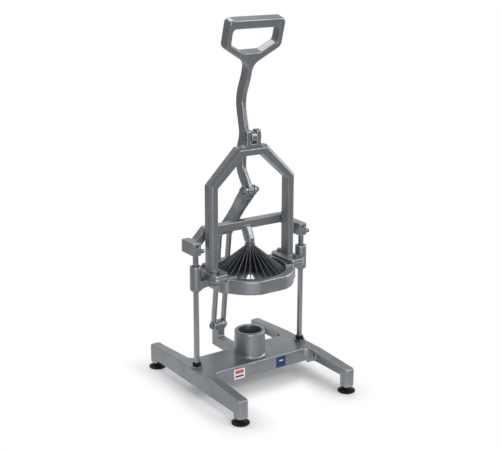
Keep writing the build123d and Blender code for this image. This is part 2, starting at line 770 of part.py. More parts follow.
with BuildPart() as yoke:
    with BuildSketch(Plane.XZ.offset(-yoke_back)):
        with BuildLine():
            upright_in = yoke_half - upright_w
            foot_z = flange_top - ear_sink
            Polyline((upright_in, foot_z), (yoke_half, foot_z), (yoke_half, shoulder),
                     (crown_x, head_top), (-crown_x, head_top), (-yoke_half, shoulder),
                     (-yoke_half, foot_z), (-upright_in, foot_z),
                     (-upright_in, inner_shoulder), (-head_half, head_under),
                     (head_half, head_under), (upright_in, inner_shoulder), close=True)
        make_face()
    extrude(amount=yoke_back - yoke_front)
    chamfer(yoke.faces().sort_by(Axis.Y)[0].edges().filter_by(on_outer_line), bevel)
    fillet(yoke.faces().sort_by(Axis.Y)[-1].edges().filter_by(on_outer_line), back_round)
    add(yoke_feet.part)
    # block and ears for the lever's pin
    with BuildSketch(Plane.XZ.offset(-ear_back)):
        with BuildLine():
            foot_x = ears_half + ear_foot
            foot_mid = ear_foot * (1 - cos(radians(45)))
            sunk = head_top - ear_sink
            Polyline((-foot_x, head_top), (-foot_x, sunk), (foot_x, sunk), (foot_x, head_top))
            ThreePointArc((foot_x, head_top), (ears_half + foot_mid, head_top + foot_mid),
                          (ears_half, head_top + ear_foot))
            Polyline((ears_half, head_top + ear_foot), (ears_half, ear_top), (-ears_half, ear_top),
                     (-ears_half, head_top + ear_foot))
            ThreePointArc((-ears_half, head_top + ear_foot), (-ears_half - foot_mid, head_top + foot_mid),
                          (-foot_x, head_top))
        make_face()
    extrude(amount=ear_back - yoke_front)
    ear_corners = yoke.edges().filter_by(Axis.X).filter_by(lambda e: abs(e.center().Z - ear_top) < 0.01)
    fillet(ear_corners, ear_round)
    with BuildSketch(Plane.XY.offset(slot_bottom)):
        Rectangle(slot_w, 4 * (yoke_back - yoke_front))
    extrude(amount=ear_top - slot_bottom, mode=Mode.SUBTRACT)
    with BuildSketch(Plane.YZ):
        with Locations((pivot_y, pivot_z)):
            Circle(pin_d / 2 + seat_gap)
    extrude(amount=ears_half, both=True, mode=Mode.SUBTRACT)
    with BuildSketch(Plane.XY.offset(flange_top)):
        with Locations(*yoke_screws):
            Circle(yoke_screw_d / 2 + seat_gap)
    extrude(amount=-flange_t, mode=Mode.SUBTRACT)
finish(yoke, "yoke")

with BuildPart() as yoke_bolts:
    with BuildSketch(Plane.XY.offset(flange_top)):
        for spot in yoke_screws:
            with Locations(spot):
                Circle(yoke_screw_head_d / 2)
                RegularPolygon(yoke_socket_w / 2, 6, major_radius=False, mode=Mode.SUBTRACT)
    extrude(amount=yoke_screw_head_t)
    with BuildSketch(Plane.XY.offset(seat_top - yoke_screw_bite)):
        with Locations(*yoke_screws):
            Circle(yoke_screw_d / 2)
    extrude(amount=yoke_screw_bite + flange_t + yoke_socket_floor)
finish(yoke_bolts, "yoke_screws")

with BuildPart() as lever_pin:
    with BuildSketch(Plane.YZ):
        with Locations((pivot_y, pivot_z)):
            Circle(pin_d / 2)
    extrude(amount=ears_half + pin_over, both=True)
    chamfer(lever_pin.edges().filter_by(GeomType.CIRCLE), pin_edge)
finish(lever_pin, "lever_pin")

with BuildPart() as lever_pin_clips:
    for side in sides:
        with BuildSketch(Plane.YZ.offset(side * (ears_half + seat_gap))):
            with Locations((pivot_y, pivot_z)):
                Circle(clip_d / 2)
                Circle(pin_d / 2 + seat_gap, mode=Mode.SUBTRACT)
        extrude(amount=side * clip_t)
finish(lever_pin_clips, "lever_pin_clips")

# ---------------------------------------------------------------- lever
lean_y = -sin(radians(grip_lean))
lean_z = cos(radians(grip_lean))
grip_plane = Plane(origin=(0, grip_y, grip_z), x_dir=(1, 0, 0), z_dir=(0, -lean_z, lean_y))
shank_points = [(knee_y, knee_z), *[(y, pivot_z + rise) for y, rise in shank_corners],
                (grip_y - lean_y * grip_bend, grip_z - lean_z * grip_bend), (grip_y, grip_z)]
rim_of_grip = grip_tall - grip_bar

# the two-handed loop, drawn in its own leaning plane
with BuildPart() as grip:
    with BuildSketch(grip_plane):
        with BuildLine():
            outer = FilletPolyline((0, grip_tall), (grip_half, grip_tall), (grip_half, grip_hip),
                                   (shank_t / 2, grip_crotch), (shank_t / 2, -grip_tail),
                                   radius=list(grip_bends))
            Line((shank_t / 2, -grip_tail), (0, -grip_tail))
            mirror(about=Plane.YZ)
        make_face()
        with BuildLine():
            FilletPolyline((0, rim_of_grip), (grip_half - grip_side, rim_of_grip),
                           (grip_half - grip_side, grip_hand), (grip_waist, grip_floor), (0, grip_floor),
                           radius=list(grip_window_bends))
            mirror(about=Plane.YZ)
        make_face(mode=Mode.SUBTRACT)
    extrude(amount=shank_deep / 2, both=True)
    face_rims = grip.edges().filter_by(
        lambda e: abs(abs(grip_plane.to_local_coords(e.center()).Z) - shank_deep / 2) < 0.01
        and grip_plane.to_local_coords(e.center()).Y > 0.1 - grip_tail)
    fillet(face_rims, lever_edge)

with BuildPart() as lever:
    with BuildSketch(Plane.YZ.offset(-shank_t / 2)):
        with BuildLine():
            FilletPolyline(*shank_points, radius=list(shank_bends))
        trace(line_width=shank_deep)
    extrude(amount=shank_t)
    fillet(lever.edges().filter_by(lambda e: abs(abs(e.center().X) - shank_t / 2) < 0.01), lever_edge)
    add(grip.part)
    # web from the shank to the hub, and the eye at its lower end
    with BuildSketch(Plane.YZ.offset(-shank_t / 2)):
        with Locations((pivot_y + shank_deep / 2, pivot_z)):
            Rectangle(shank_deep, 2 * web_half)
        with Locations((knee_y, knee_z)):
            Circle(eye_r)
    extrude(amount=shank_t)
    with BuildSketch(Plane.YZ):
        with Locations((pivot_y, pivot_z)):
            Circle(hub_r)
    extrude(amount=hub_half, both=True)
    with BuildSketch(Plane.YZ):
        with Locations((pivot_y, pivot_z), (knee_y, knee_z)):
            Circle(lever_bushing_r + seat_gap)
    extrude(amount=hub_half, both=True, mode=Mode.SUBTRACT)
finish(lever, "lever")

bushing_places = (("lever_bushing", pivot_y, pivot_z, hub_half),
                  ("knee_bushing", knee_y, knee_z, shank_t / 2))
for bushing_name, bushing_y, bushing_z, half_long in bushing_places:
    with BuildPart() as bushing:
        with BuildSketch(Plane.YZ):
            with Locations((bushing_y, bushing_z)):
                Circle(lever_bushing_r)
                Circle(pin_d / 2 + run_gap, mode=Mode.SUBTRACT)
        extrude(amount=half_long, both=True)
    finish(bushing, bushing_name)

# ---------------------------------------------------------------- link
upper_long = hypot(bend_y - knee_y, bend_z - knee_z)
upper_turn = degrees(atan2(bend_z - knee_z, bend_y - knee_y))
leg_long = hypot(link_foot_y - bend_y, link_foot_z - bend_z)
leg_turn = degrees(atan2(link_foot_z - bend_z, link_foot_y - bend_y))
web_plane = Plane(origin=(0, knee_y, knee_z), x_dir=(0, cos(radians(upper_turn)), sin(radians(upper_turn))),
                  z_dir=(1, 0, 0))
gap_low = link_foot_z - 2 * link_end_r
gap_high = knee_z + 2 * link_end_r
gap_steps = [(leg_half, gap_low), (leg_half, bend_z), (waist_half, waist_low),
             (waist_half, waist_high), (fork_half, fork_low), (fork_half, gap_high)]
wall_steps = [(leg_half + leg_t, gap_low), (leg_half + leg_t, bend_z),
              (waist_half + waist_t, waist_low), (waist_half + waist_t, waist_high),
              (fork_half + leg_t, fork_low), (fork_half + leg_t, gap_high)]
behind = Plane.XZ.offset(-2 * link_foot_y)

# space between the link's two sides; the web that joins them is left standing
with BuildPart() as link_gap:
    with BuildSketch(behind):
        with BuildLine():
            Polyline(*gap_steps, *[(-x, z) for x, z in reversed(gap_steps)], close=True)
        make_face()
    extrude(amount=4 * link_foot_y)
    with BuildSketch(web_plane.offset(-leg_half - leg_t)):
        with Locations(((link_web_start + upper_long) / 2, (link_web_t - link_deep) / 2 + link_web_sunk)):
            Rectangle(upper_long - link_web_start, link_web_t)
    extrude(amount=2 * (leg_half + leg_t), mode=Mode.SUBTRACT)

with BuildPart() as link:
    with BuildSketch(Plane.YZ.offset(-leg_half - leg_t)):
        with Locations(Location(((knee_y + bend_y) / 2, (knee_z + bend_z) / 2), upper_turn)):
            SlotCenterToCenter(upper_long, link_deep)
        with Locations(Location(((link_foot_y + bend_y) / 2, (link_foot_z + bend_z) / 2), leg_turn)):
            SlotCenterToCenter(leg_long, leg_deep)
        with Locations((link_foot_y, link_foot_z), (knee_y, knee_z)):
            Circle(link_end_r)
    extrude(amount=2 * (leg_half + leg_t))
    with BuildSketch(behind):
        with BuildLine():
            Polyline(*wall_steps, *[(-x, z) for x, z in reversed(wall_steps)], close=True)
        make_face()
    extrude(amount=4 * link_foot_y, mode=Mode.INTERSECT)
    add(link_gap.part, mode=Mode.SUBTRACT)
    with BuildSketch(Plane.YZ):
        with Locations((link_foot_y, link_foot_z), (knee_y, knee_z)):
            Circle(pin_d / 2 + seat_gap)
    extrude(amount=leg_half + leg_t, both=True, mode=Mode.SUBTRACT)
finish(link, "link")

fork_out = fork_half + leg_t
with BuildPart() as link_washers:
    for side in sides:
        with BuildSketch(Plane.YZ.offset(side * (fork_half - washer_t))):
            with Locations((knee_y, knee_z)):
                Circle(washer_d / 2)
                Circle(pin_d / 2 + seat_gap, mode=Mode.SUBTRACT)
        extrude(amount=side * washer_t)
finish(link_washers, "link_washers")

with BuildPart() as link_bolt:
    with BuildSketch(Plane.YZ.offset(-fork_out)):
        with Locations((knee_y, knee_z)):
            Circle(pin_d / 2)
    extrude(amount=2 * fork_out + knee_head_t)
    with BuildSketch(Plane.YZ.offset(-fork_out)):
        with Locations((knee_y, knee_z)):
            RegularPolygon(knee_head_w / 2, 6, major_radius=False)
    extrude(amount=-knee_head_t)
finish(link_bolt, "link_bolt")

with BuildPart() as link_nut:
    with BuildSketch(Plane.YZ.offset(fork_out)):
        with Locations((knee_y, knee_z)):
            RegularPolygon(knee_head_w / 2, 6, major_radius=False)
    extrude(amount=knee_head_t)
    with Locations((fork_out + knee_head_t, knee_y, knee_z)):
        Sphere(knee_dome_r)
    with BuildSketch(Plane.YZ.offset(fork_out)):
        with Locations((knee_y, knee_z)):
            Rectangle(2 * knee_head_w, 2 * knee_head_w)
    extrude(amount=-2 * knee_head_w, mode=Mode.SUBTRACT)
    with BuildSketch(Plane.YZ.offset(fork_out)):
        with Locations((knee_y, knee_z)):
            Circle(pin_d / 2 + seat_gap)
    extrude(amount=knee_head_t + seat_gap, mode=Mode.SUBTRACT)
finish(link_nut, "link_nut")

with BuildPart() as link_pivot_screws:
    for side in sides:
        with BuildSketch(Plane.YZ.offset(side * (arm_w / 2 + foot_pin_clear))):
            with Locations((link_foot_y, link_foot_z)):
                Circle(pin_d / 2)
        extrude(amount=side * (leg_half + leg_t - arm_w / 2 - foot_pin_clear))
        with BuildSketch(Plane.YZ.offset(side * (leg_half + leg_t))):
            with Locations((link_foot_y, link_foot_z)):
                Circle(foot_pin_head_d / 2)
        extrude(amount=side * foot_pin_head_t)
finish(link_pivot_screws, "link_pivot_screws")
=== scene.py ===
import json
import math

import bmesh
import bpy
import numpy as np
from mathutils import Matrix, Vector


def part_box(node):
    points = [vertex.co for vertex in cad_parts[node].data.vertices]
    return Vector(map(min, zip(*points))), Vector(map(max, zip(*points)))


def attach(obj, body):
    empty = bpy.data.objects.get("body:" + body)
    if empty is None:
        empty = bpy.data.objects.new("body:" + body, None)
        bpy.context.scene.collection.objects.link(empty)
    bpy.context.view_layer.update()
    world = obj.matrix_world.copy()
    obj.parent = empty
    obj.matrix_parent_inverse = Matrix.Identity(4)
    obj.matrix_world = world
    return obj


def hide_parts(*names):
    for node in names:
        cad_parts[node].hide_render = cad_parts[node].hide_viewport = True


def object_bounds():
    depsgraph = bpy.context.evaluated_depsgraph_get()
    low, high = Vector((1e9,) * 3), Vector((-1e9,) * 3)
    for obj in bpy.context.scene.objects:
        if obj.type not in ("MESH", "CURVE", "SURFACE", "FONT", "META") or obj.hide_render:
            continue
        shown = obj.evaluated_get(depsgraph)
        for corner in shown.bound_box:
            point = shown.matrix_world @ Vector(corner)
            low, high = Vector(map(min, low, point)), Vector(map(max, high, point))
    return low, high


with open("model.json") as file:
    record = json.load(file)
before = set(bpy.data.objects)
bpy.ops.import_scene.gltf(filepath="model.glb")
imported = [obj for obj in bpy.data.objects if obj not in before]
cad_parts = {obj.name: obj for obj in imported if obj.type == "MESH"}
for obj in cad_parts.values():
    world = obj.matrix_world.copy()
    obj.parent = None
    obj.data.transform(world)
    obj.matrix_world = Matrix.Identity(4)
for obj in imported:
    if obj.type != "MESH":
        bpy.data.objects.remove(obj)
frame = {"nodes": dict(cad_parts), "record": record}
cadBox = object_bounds()
nodes = frame["nodes"]
record = frame["record"]
bodyOf = {node: body for body, names in record["behaviour"]["bodies"].items() for node in names}
slotOf = {part["node"]: part["material_slot"] for part in record["subparts"]}
print("frame loaded:", len(nodes), "nodes")

mm = 0.001


def linear(hexColour):
    # an sRGB hex value as the linear colour that shaders take
    parts = [int(hexColour[i:i + 2], 16) / 255 for i in (1, 3, 5)]
    return [c / 12.92 if c <= 0.04045 else ((c + 0.055) / 1.055) ** 2.4 for c in parts] + [1.0]


def addNode(tree, kind, settings=None, **inputs):
    # one shader node with its settings and links; i0, i1 ... are inputs by number, others by name
    node = tree.nodes.new(kind)
    for key, value in (settings or {}).items():
        setattr(node, key, value)
    for key, value in inputs.items():
        numbered = key[0] == "i" and key[1:].isdigit()
        socket = node.inputs[int(key[1:])] if numbered else node.inputs[key.replace("_", " ")]
        if isinstance(value, bpy.types.NodeSocket):
            tree.links.new(value, socket)
        else:
            socket.default_value = value
    return node


def ramp(tree, factor, stops):
    # a colour ramp with (position, grey or colour) stops
    node = addNode(tree, "ShaderNodeValToRGB", i0=factor)
    elements = node.color_ramp.elements
    for index, (position, colour) in enumerate(stops):
        element = elements[index] if index < 2 else elements.new(position)
        element.position = position
        element.color = colour if isinstance(colour, list) else [colour, colour, colour, 1.0]
    return node.outputs[0]


def newMaterial(name):
    # a node material with a Principled shader on its output
    material = bpy.data.materials.new(name)
    material.use_nodes = True
    tree = material.node_tree
    tree.nodes.clear()
    shader = addNode(tree, "ShaderNodeBsdfPrincipled")
    addNode(tree, "ShaderNodeOutputMaterial", Surface=shader.outputs[0])
    place = addNode(tree, "ShaderNodeTexCoord").outputs["Object"]
    return material, tree, shader, place


def dress(material, *names):
    # puts one finish on CAD nodes
    for name in names:
        slots = nodes[name].data.materials
        slots.clear()
        slots.append(material)


# where the photograph was taken from
cameraView = {
    "place": (-0.9715, -1.4297, 0.7826),    # metres
    "heading": 34.2,                        # degrees from +Y towards +X
    "down": 16.15,                          # degrees below level
    "roll": 0.13,                           # degrees
    "lens": 76.72, "sensor": 36,            # mm
    "farthest": 50,                         # metres
}


def makeCamera(view):
    data = bpy.data.cameras.new("camera")
    data.sensor_fit = "HORIZONTAL"
    data.sensor_width = view["sensor"]
    data.lens = view["lens"]
    data.clip_end = view["farthest"]
    camera = bpy.data.objects.new("camera", data)
    turn = (Matrix.Rotation(math.radians(-view["heading"]), 4, "Z")
            @ Matrix.Rotation(math.radians(90 - view["down"]), 4, "X")
            @ Matrix.Rotation(math.radians(view["roll"]), 4, "Z"))
    camera.matrix_world = Matrix.Translation(view["place"]) @ turn
    bpy.context.scene.collection.objects.link(camera)
    bpy.context.scene.camera = camera


makeCamera(cameraView)
print("camera placed")

# a white paper sweep, a large soft lamp overhead and three smaller ones round the press
studio = {
    "floorHalf": 12.0,                  # metres
    "paper": "#f7f7f8",
    "glow": (0.12, 1.0),                # share of plain white in the floor that the camera sees
    "glowReach": (0.0, 0.05),           # metres outside the base's outline over which it grows
    "mirrored": (0.72, 0.24),           # brightness of the floor that metal mirrors, near and far
    "mirroredReach": (0.35, 1.35),      # metres from the middle of the bright patch
    "patch": (0.15, 0.40, 0.0),         # middle of that patch, behind the press
    "fill": 0.52,                       # world light on the press
    "backdrop": (0.80, 0.60, 0.0),      # way from the press to the brightest part of the room
    # greys of the room round the press, from 0 on the camera's side to 1 at that brightest part
    "room": [(0.0, 0.20), (1.0, 0.85), (0.45, 0.30), (0.75, 0.62)],
    "ceiling": 0.22,                    # grey of the room overhead
    "horizon": (0.30, 0.62),            # upward slope over which the room turns into it
    "aim": (0.0, 0.0, 0.25),
    "tint": (0.96, 0.98, 1.0),          # slightly cool daylight lamps
}
lamps = {
    # name: place, size in metres, power in watts
    "overhead lamp": ((0.16, 1.36, 3.2), 2.8, 50.0),
    "key lamp": ((1.35, -1.7, 1.85), 1.3, 18.0),
    "right lamp": ((2.4, -0.4, 0.55), 1.6, 16.0),
    "left lamp": ((-1.35, -2.6, 0.5), 1.2, 31.0),
}


def makeLamp(name, place, size, power):
    data = bpy.data.lights.new(name, "AREA")
    data.shape = "DISK"
    data.size = size
    data.energy = power
    data.color = studio["tint"]
    lamp = bpy.data.objects.new(name, data)
    aim = (Vector(studio["aim"]) - Vector(place)).to_track_quat("-Z", "Y")
    lamp.matrix_world = Matrix.Translation(place) @ aim.to_matrix().to_4x4()
    bpy.context.scene.collection.objects.link(lamp)


def mirrorRays(tree):
    # 1 for what metal and glass show, 0 for the camera and for light that falls on the press
    path = addNode(tree, "ShaderNodeLightPath").outputs
    return addNode(tree, "ShaderNodeMath", {"operation": "MAXIMUM"},
                   i0=path["Is Glossy Ray"], i1=path["Is Transmission Ray"]).outputs[0]


def makeWorld():
    world = bpy.data.worlds.new("studio")
    world.use_nodes = True
    tree = world.node_tree
    tree.nodes.clear()
    path = addNode(tree, "ShaderNodeLightPath").outputs
    light = addNode(tree, "ShaderNodeBackground", Color=[1, 1, 1, 1], Strength=studio["fill"])
    white = addNode(tree, "ShaderNodeBackground", Color=[1, 1, 1, 1], Strength=1.0)
    # metal mirrors a room that is white behind the press and grey on the camera's side
    direction = addNode(tree, "ShaderNodeTexCoord").outputs["Generated"]
    side = addNode(tree, "ShaderNodeVectorMath", {"operation": "DOT_PRODUCT"},
                   i0=direction, i1=studio["backdrop"]).outputs["Value"]
    level = addNode(tree, "ShaderNodeMapRange", i0=side, i1=-1.0, i2=1.0).outputs[0]
    wall = ramp(tree, level, studio["room"])
    height = addNode(tree, "ShaderNodeSeparateXYZ", i0=direction).outputs["Z"]
    dim = addNode(tree, "ShaderNodeMapRange", {"interpolation_type": "SMOOTHSTEP"}, i0=height,
                  i1=studio["horizon"][0], i2=studio["horizon"][1]).outputs[0]
    grey = addNode(tree, "ShaderNodeMix", {"data_type": "RGBA"}, i0=dim, i6=wall,
                   i7=[studio["ceiling"]] * 3 + [1]).outputs[2]
    room = addNode(tree, "ShaderNodeBackground", Color=grey, Strength=1.0)
    lit = addNode(tree, "ShaderNodeMixShader", i0=mirrorRays(tree),
                  i1=light.outputs[0], i2=room.outputs[0])
    mix = addNode(tree, "ShaderNodeMixShader", i0=path["Is Camera Ray"],
                  i1=lit.outputs[0], i2=white.outputs[0])
    addNode(tree, "ShaderNodeOutputWorld", Surface=mix.outputs[0])
    bpy.context.scene.world = world


def outsideBox(tree, place, low, high):
    # distance in metres from a rectangle on the floor: the length of what |place - middle| - half has
    # above zero on both axes, plus its larger part where that is below zero, inside the rectangle
    middle = [(low[i] + high[i]) / 2 for i in (0, 1)] + [0]
    half = [(high[i] - low[i]) / 2 for i in (0, 1)] + [0]
    moved = addNode(tree, "ShaderNodeVectorMath", {"operation": "SUBTRACT"},
                    i0=place, i1=middle).outputs[0]
    size = addNode(tree, "ShaderNodeVectorMath", {"operation": "ABSOLUTE"}, i0=moved).outputs[0]
    over = addNode(tree, "ShaderNodeVectorMath", {"operation": "SUBTRACT"}, i0=size, i1=half).outputs[0]
    beyond = addNode(tree, "ShaderNodeVectorMath", {"operation": "MAXIMUM"},
                     i0=over, i1=(0, 0, 0)).outputs[0]
    away = addNode(tree, "ShaderNodeVectorMath", {"operation": "LENGTH"}, i0=beyond).outputs["Value"]
    axes = addNode(tree, "ShaderNodeSeparateXYZ", i0=over).outputs
    deep = addNode(tree, "ShaderNodeMath", {"operation": "MAXIMUM"},
                   i0=axes["X"], i1=axes["Y"]).outputs[0]
    inside = addNode(tree, "ShaderNodeMath", {"operation": "MINIMUM"}, i0=deep, i1=0.0).outputs[0]
    return addNode(tree, "ShaderNodeMath", {"operation": "ADD"}, i0=away, i1=inside).outputs[0]


def makeFloor():
    half = studio["floorHalf"]
    corners = [(-half, -half, 0), (half, -half, 0), (half, half, 0), (-half, half, 0)]
    mesh = bpy.data.meshes.new("floor")
    mesh.from_pydata(corners, [], [(0, 1, 2, 3)])
    floor = bpy.data.objects.new("floor", mesh)
    bpy.context.scene.collection.objects.link(floor)
    material = bpy.data.materials.new("white paper sweep")
    material.use_nodes = True
    tree = material.node_tree
    tree.nodes.clear()
    path = addNode(tree, "ShaderNodeLightPath").outputs
    place = addNode(tree, "ShaderNodeTexCoord").outputs["Object"]
    paper = addNode(tree, "ShaderNodeBsdfDiffuse", Color=linear(studio["paper"]))
    white = addNode(tree, "ShaderNodeEmission", Color=[1, 1, 1, 1], Strength=1.0)
    # the paper glows white away from the base's two rails and plate, and keeps their shadow
    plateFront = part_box("front_labels")[1][1]
    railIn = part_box("foot_front_right")[0][0]
    leftRail = (cadBox[0], (-railIn, cadBox[1][1]))
    rightRail = ((railIn, cadBox[0][1]), cadBox[1])
    plate = ((-railIn, plateFront), (railIn, -plateFront))
    outline = None
    for low, high in (leftRail, rightRail, plate):
        one = outsideBox(tree, place, low, high)
        outline = one if outline is None else addNode(tree, "ShaderNodeMath", {"operation": "MINIMUM"},
                                                      i0=outline, i1=one).outputs[0]
    share = addNode(tree, "ShaderNodeMapRange", {"interpolation_type": "SMOOTHSTEP"}, i0=outline,
                    i1=studio["glowReach"][0], i2=studio["glowReach"][1],
                    i3=studio["glow"][0], i4=studio["glow"][1]).outputs[0]
    straight = addNode(tree, "ShaderNodeMath", {"operation": "MULTIPLY"}, i0=share,
                       i1=path["Is Camera Ray"]).outputs[0]
    away = addNode(tree, "ShaderNodeVectorMath", {"operation": "DISTANCE"}, i0=place,
                   i1=studio["patch"]).outputs["Value"]
    level = addNode(tree, "ShaderNodeMapRange", {"interpolation_type": "SMOOTHSTEP"}, i0=away,
                    i1=studio["mirroredReach"][0], i2=studio["mirroredReach"][1],
                    i3=studio["mirrored"][0], i4=studio["mirrored"][1]).outputs[0]
    mirrored = addNode(tree, "ShaderNodeEmission", Color=[1, 1, 1, 1], Strength=level)
    seen = addNode(tree, "ShaderNodeMixShader", i0=straight, i1=paper.outputs[0], i2=white.outputs[0])
    beyondPress = addNode(tree, "ShaderNodeMath", {"operation": "MULTIPLY"},
                          i0=share, i1=mirrorRays(tree)).outputs[0]
    mix = addNode(tree, "ShaderNodeMixShader", i0=beyondPress,
                  i1=seen.outputs[0], i2=mirrored.outputs[0])
    addNode(tree, "ShaderNodeOutputMaterial", Surface=mix.outputs[0])
    mesh.materials.append(material)


makeWorld()
makeFloor()
for lampName, (lampPlace, lampSize, lampPower) in lamps.items():
    makeLamp(lampName, lampPlace, lampSize, lampPower)
bpy.context.scene.view_settings.view_transform = "Standard"
print("studio built")


def perMetre(size):
    # a noise scale from the size of its features in millimetres
    return 1000.0 / size


castSetup = {
    "light": "#a3a6aa", "dark": "#8f9296",          # bright grains and the duller skin between them
    "tones": (0.36, 0.64),                          # noise levels at which these are reached
    "grain": 1.6,                                   # mm, coarser than real sand grain so that it shows
    "cloud": 40.0,                                  # mm, slow patches left by the tumbling
    "grainShare": 0.55, "detail": 3.0,
    "roughness": (0.33, 0.43), "roughTones": (0.35, 0.65),
    "metallic": 0.9,
    "bump": 0.25, "depth": 0.12,                    # and how deep the pebbling is, mm
    "wearAndHighlight": "#c3c7cc", "wearAndHighlightSharpness": (0.515, 0.575),      # tumbled edges, brighter partly from wear and partly as a painted highlight, and the sharpness that shows them
    "wornRoughness": 0.26,
    "insideCornerGrey": "#6f7276", "hollow": (0.485, 0.44),    # darker grey in inside corners, and the hollowness that shows it
}


def tumbledCastAluminium(setup):
    # cast aluminium, tumbled: a fine pebbled satin skin that breaks up reflections
    material, tree, shader, place = newMaterial("cast aluminium, tumbled")
    grain = addNode(tree, "ShaderNodeTexNoise", Vector=place, Scale=perMetre(setup["grain"]),
                    Detail=setup["detail"]).outputs[0]
    cloud = addNode(tree, "ShaderNodeTexNoise", Vector=place, Scale=perMetre(setup["cloud"]),
                    Detail=setup["detail"]).outputs[0]
    tone = addNode(tree, "ShaderNodeMix", {"data_type": "FLOAT"}, i0=setup["grainShare"],
                   i2=cloud, i3=grain).outputs[0]
    skin = ramp(tree, tone, [(setup["tones"][0], linear(setup["dark"])),
                             (setup["tones"][1], linear(setup["light"]))])
    rough = addNode(tree, "ShaderNodeMapRange", i0=tone,
                    i1=setup["roughTones"][0], i2=setup["roughTones"][1],
                    i3=setup["roughness"][1], i4=setup["roughness"][0]).outputs[0]
    relief = addNode(tree, "ShaderNodeBump", Strength=setup["bump"], Distance=setup["depth"] * mm,
                     Height=grain)
    # corners stand out to the tumbling media: smoother outside, and brighter there, partly from wear and
    # partly as a painted highlight; darker in inside corners
    sharpness = addNode(tree, "ShaderNodeNewGeometry").outputs["Pointiness"]
    wearAndHighlight = addNode(tree, "ShaderNodeMapRange", i0=sharpness,
                   i1=setup["wearAndHighlightSharpness"][0], i2=setup["wearAndHighlightSharpness"][1]).outputs[0]
    hollow = addNode(tree, "ShaderNodeMapRange", i0=sharpness,
                     i1=setup["hollow"][0], i2=setup["hollow"][1]).outputs[0]
    # brighter colour on sharp edges: painted highlight, together with real tumbling wear
    skin = addNode(tree, "ShaderNodeMix", {"data_type": "RGBA"}, i0=wearAndHighlight, i6=skin,
                   i7=linear(setup["wearAndHighlight"])).outputs[2]
    # darker colour in inside corners
    skin = addNode(tree, "ShaderNodeMix", {"data_type": "RGBA"}, i0=hollow, i6=skin,
                   i7=linear(setup["insideCornerGrey"])).outputs[2]
    rough = addNode(tree, "ShaderNodeMix", {"data_type": "FLOAT"}, i0=wearAndHighlight, i2=rough,
                    i3=setup["wornRoughness"]).outputs[0]
    tree.links.new(skin, shader.inputs["Base Color"])
    tree.links.new(rough, shader.inputs["Roughness"])
    tree.links.new(relief.outputs[0], shader.inputs["Normal"])
    shader.inputs["Metallic"].default_value = setup["metallic"]
    return material


steels = {
    # piece: common name, colour, roughness, axis that the fine lines run along, their spacing in mm
    "rod": ("stainless steel, ground", "#a9acb0", 0.22, 2, 0.5),
    "tube": ("stainless tube, drawn", "#b3b5b8", 0.45, 2, 0.5),
    "blade": ("stainless sheet, rolled", "#8e9195", 0.42, 2, 0.6),
    "bolt": ("steel, zinc plated", "#8f9295", 0.3, 0, 0.8),
}
steelLines = {
    "run": 60,                  # mm, length of a line
    "detail": 2.0,
    "bump": 0.12, "depth": 0.05,
    "tones": (0.3, 0.7),        # noise levels over which the roughness goes from low to high
    "spread": (0.75, 1.3),      # those two, as shares of the steel's roughness
}


def finelyLinedSteel(name, colour, roughness, along, line):
    # stainless or plated steel: bright, with fine lines from grinding or drawing that run one way
    material, tree, shader, place = newMaterial(name)
    stretch = [perMetre(line)] * 3
    stretch[along] = perMetre(steelLines["run"])
    spread = addNode(tree, "ShaderNodeMapping", {"vector_type": "POINT"}, Vector=place,
                     Scale=stretch).outputs[0]
    lines = addNode(tree, "ShaderNodeTexNoise", Vector=spread, Scale=1.0,
                    Detail=steelLines["detail"]).outputs[0]
    relief = addNode(tree, "ShaderNodeBump", Strength=steelLines["bump"],
                     Distance=steelLines["depth"] * mm, Height=lines)
    rough = addNode(tree, "ShaderNodeMapRange", i0=lines,
                    i1=steelLines["tones"][0], i2=steelLines["tones"][1],
                    i3=roughness * steelLines["spread"][0], i4=roughness * steelLines["spread"][1])
    tree.links.new(rough.outputs[0], shader.inputs["Roughness"])
    tree.links.new(relief.outputs[0], shader.inputs["Normal"])
    shader.inputs["Base Color"].default_value = linear(colour)
    shader.inputs["Metallic"].default_value = 1.0
    return material


rubberSetup = {
    "dark": "#0a0a0b", "dusty": "#161617", "tones": (0.35, 0.75),
    "dust": 3.0, "detail": 5.0,     # mm, size of the dusty patches
    "bump": 0.15, "depth": 0.1,     # and depth in mm
    "roughness": 0.55, "specular": 0.25,
}


def mouldedRubber(setup):
    # black rubber: dull, with a slight dusty bloom
    material, tree, shader, place = newMaterial("rubber, moulded black")
    dust = addNode(tree, "ShaderNodeTexNoise", Vector=place, Scale=perMetre(setup["dust"]),
                   Detail=setup["detail"]).outputs[0]
    colour = ramp(tree, dust, [(setup["tones"][0], linear(setup["dark"])),
                               (setup["tones"][1], linear(setup["dusty"]))])
    relief = addNode(tree, "ShaderNodeBump", Strength=setup["bump"], Distance=setup["depth"] * mm,
                     Height=dust)
    tree.links.new(colour, shader.inputs["Base Color"])
    tree.links.new(relief.outputs[0], shader.inputs["Normal"])
    shader.inputs["Roughness"].default_value = setup["roughness"]
    shader.inputs["Specular IOR Level"].default_value = setup["specular"]
    return material


bronzeSetup = {
    "pore": "#5b4d33", "metal": "#87724a", "tones": (0.4, 0.62),
    "pores": 0.5, "detail": 3.0,    # mm, coarser than real pores so that they show
    "bump": 0.2, "depth": 0.05,     # and depth in mm
    "roughness": 0.4,
}


def sinteredBronze(setup):
    # oil-filled bronze: brown, finely porous
    material, tree, shader, place = newMaterial("bronze, sintered")
    pores = addNode(tree, "ShaderNodeTexNoise", Vector=place, Scale=perMetre(setup["pores"]),
                    Detail=setup["detail"]).outputs[0]
    colour = ramp(tree, pores, [(setup["tones"][0], linear(setup["pore"])),
                                (setup["tones"][1], linear(setup["metal"]))])
    relief = addNode(tree, "ShaderNodeBump", Strength=setup["bump"], Distance=setup["depth"] * mm,
                     Height=pores)
    tree.links.new(colour, shader.inputs["Base Color"])
    tree.links.new(relief.outputs[0], shader.inputs["Normal"])
    shader.inputs["Metallic"].default_value = 1.0
    shader.inputs["Roughness"].default_value = setup["roughness"]
    return material


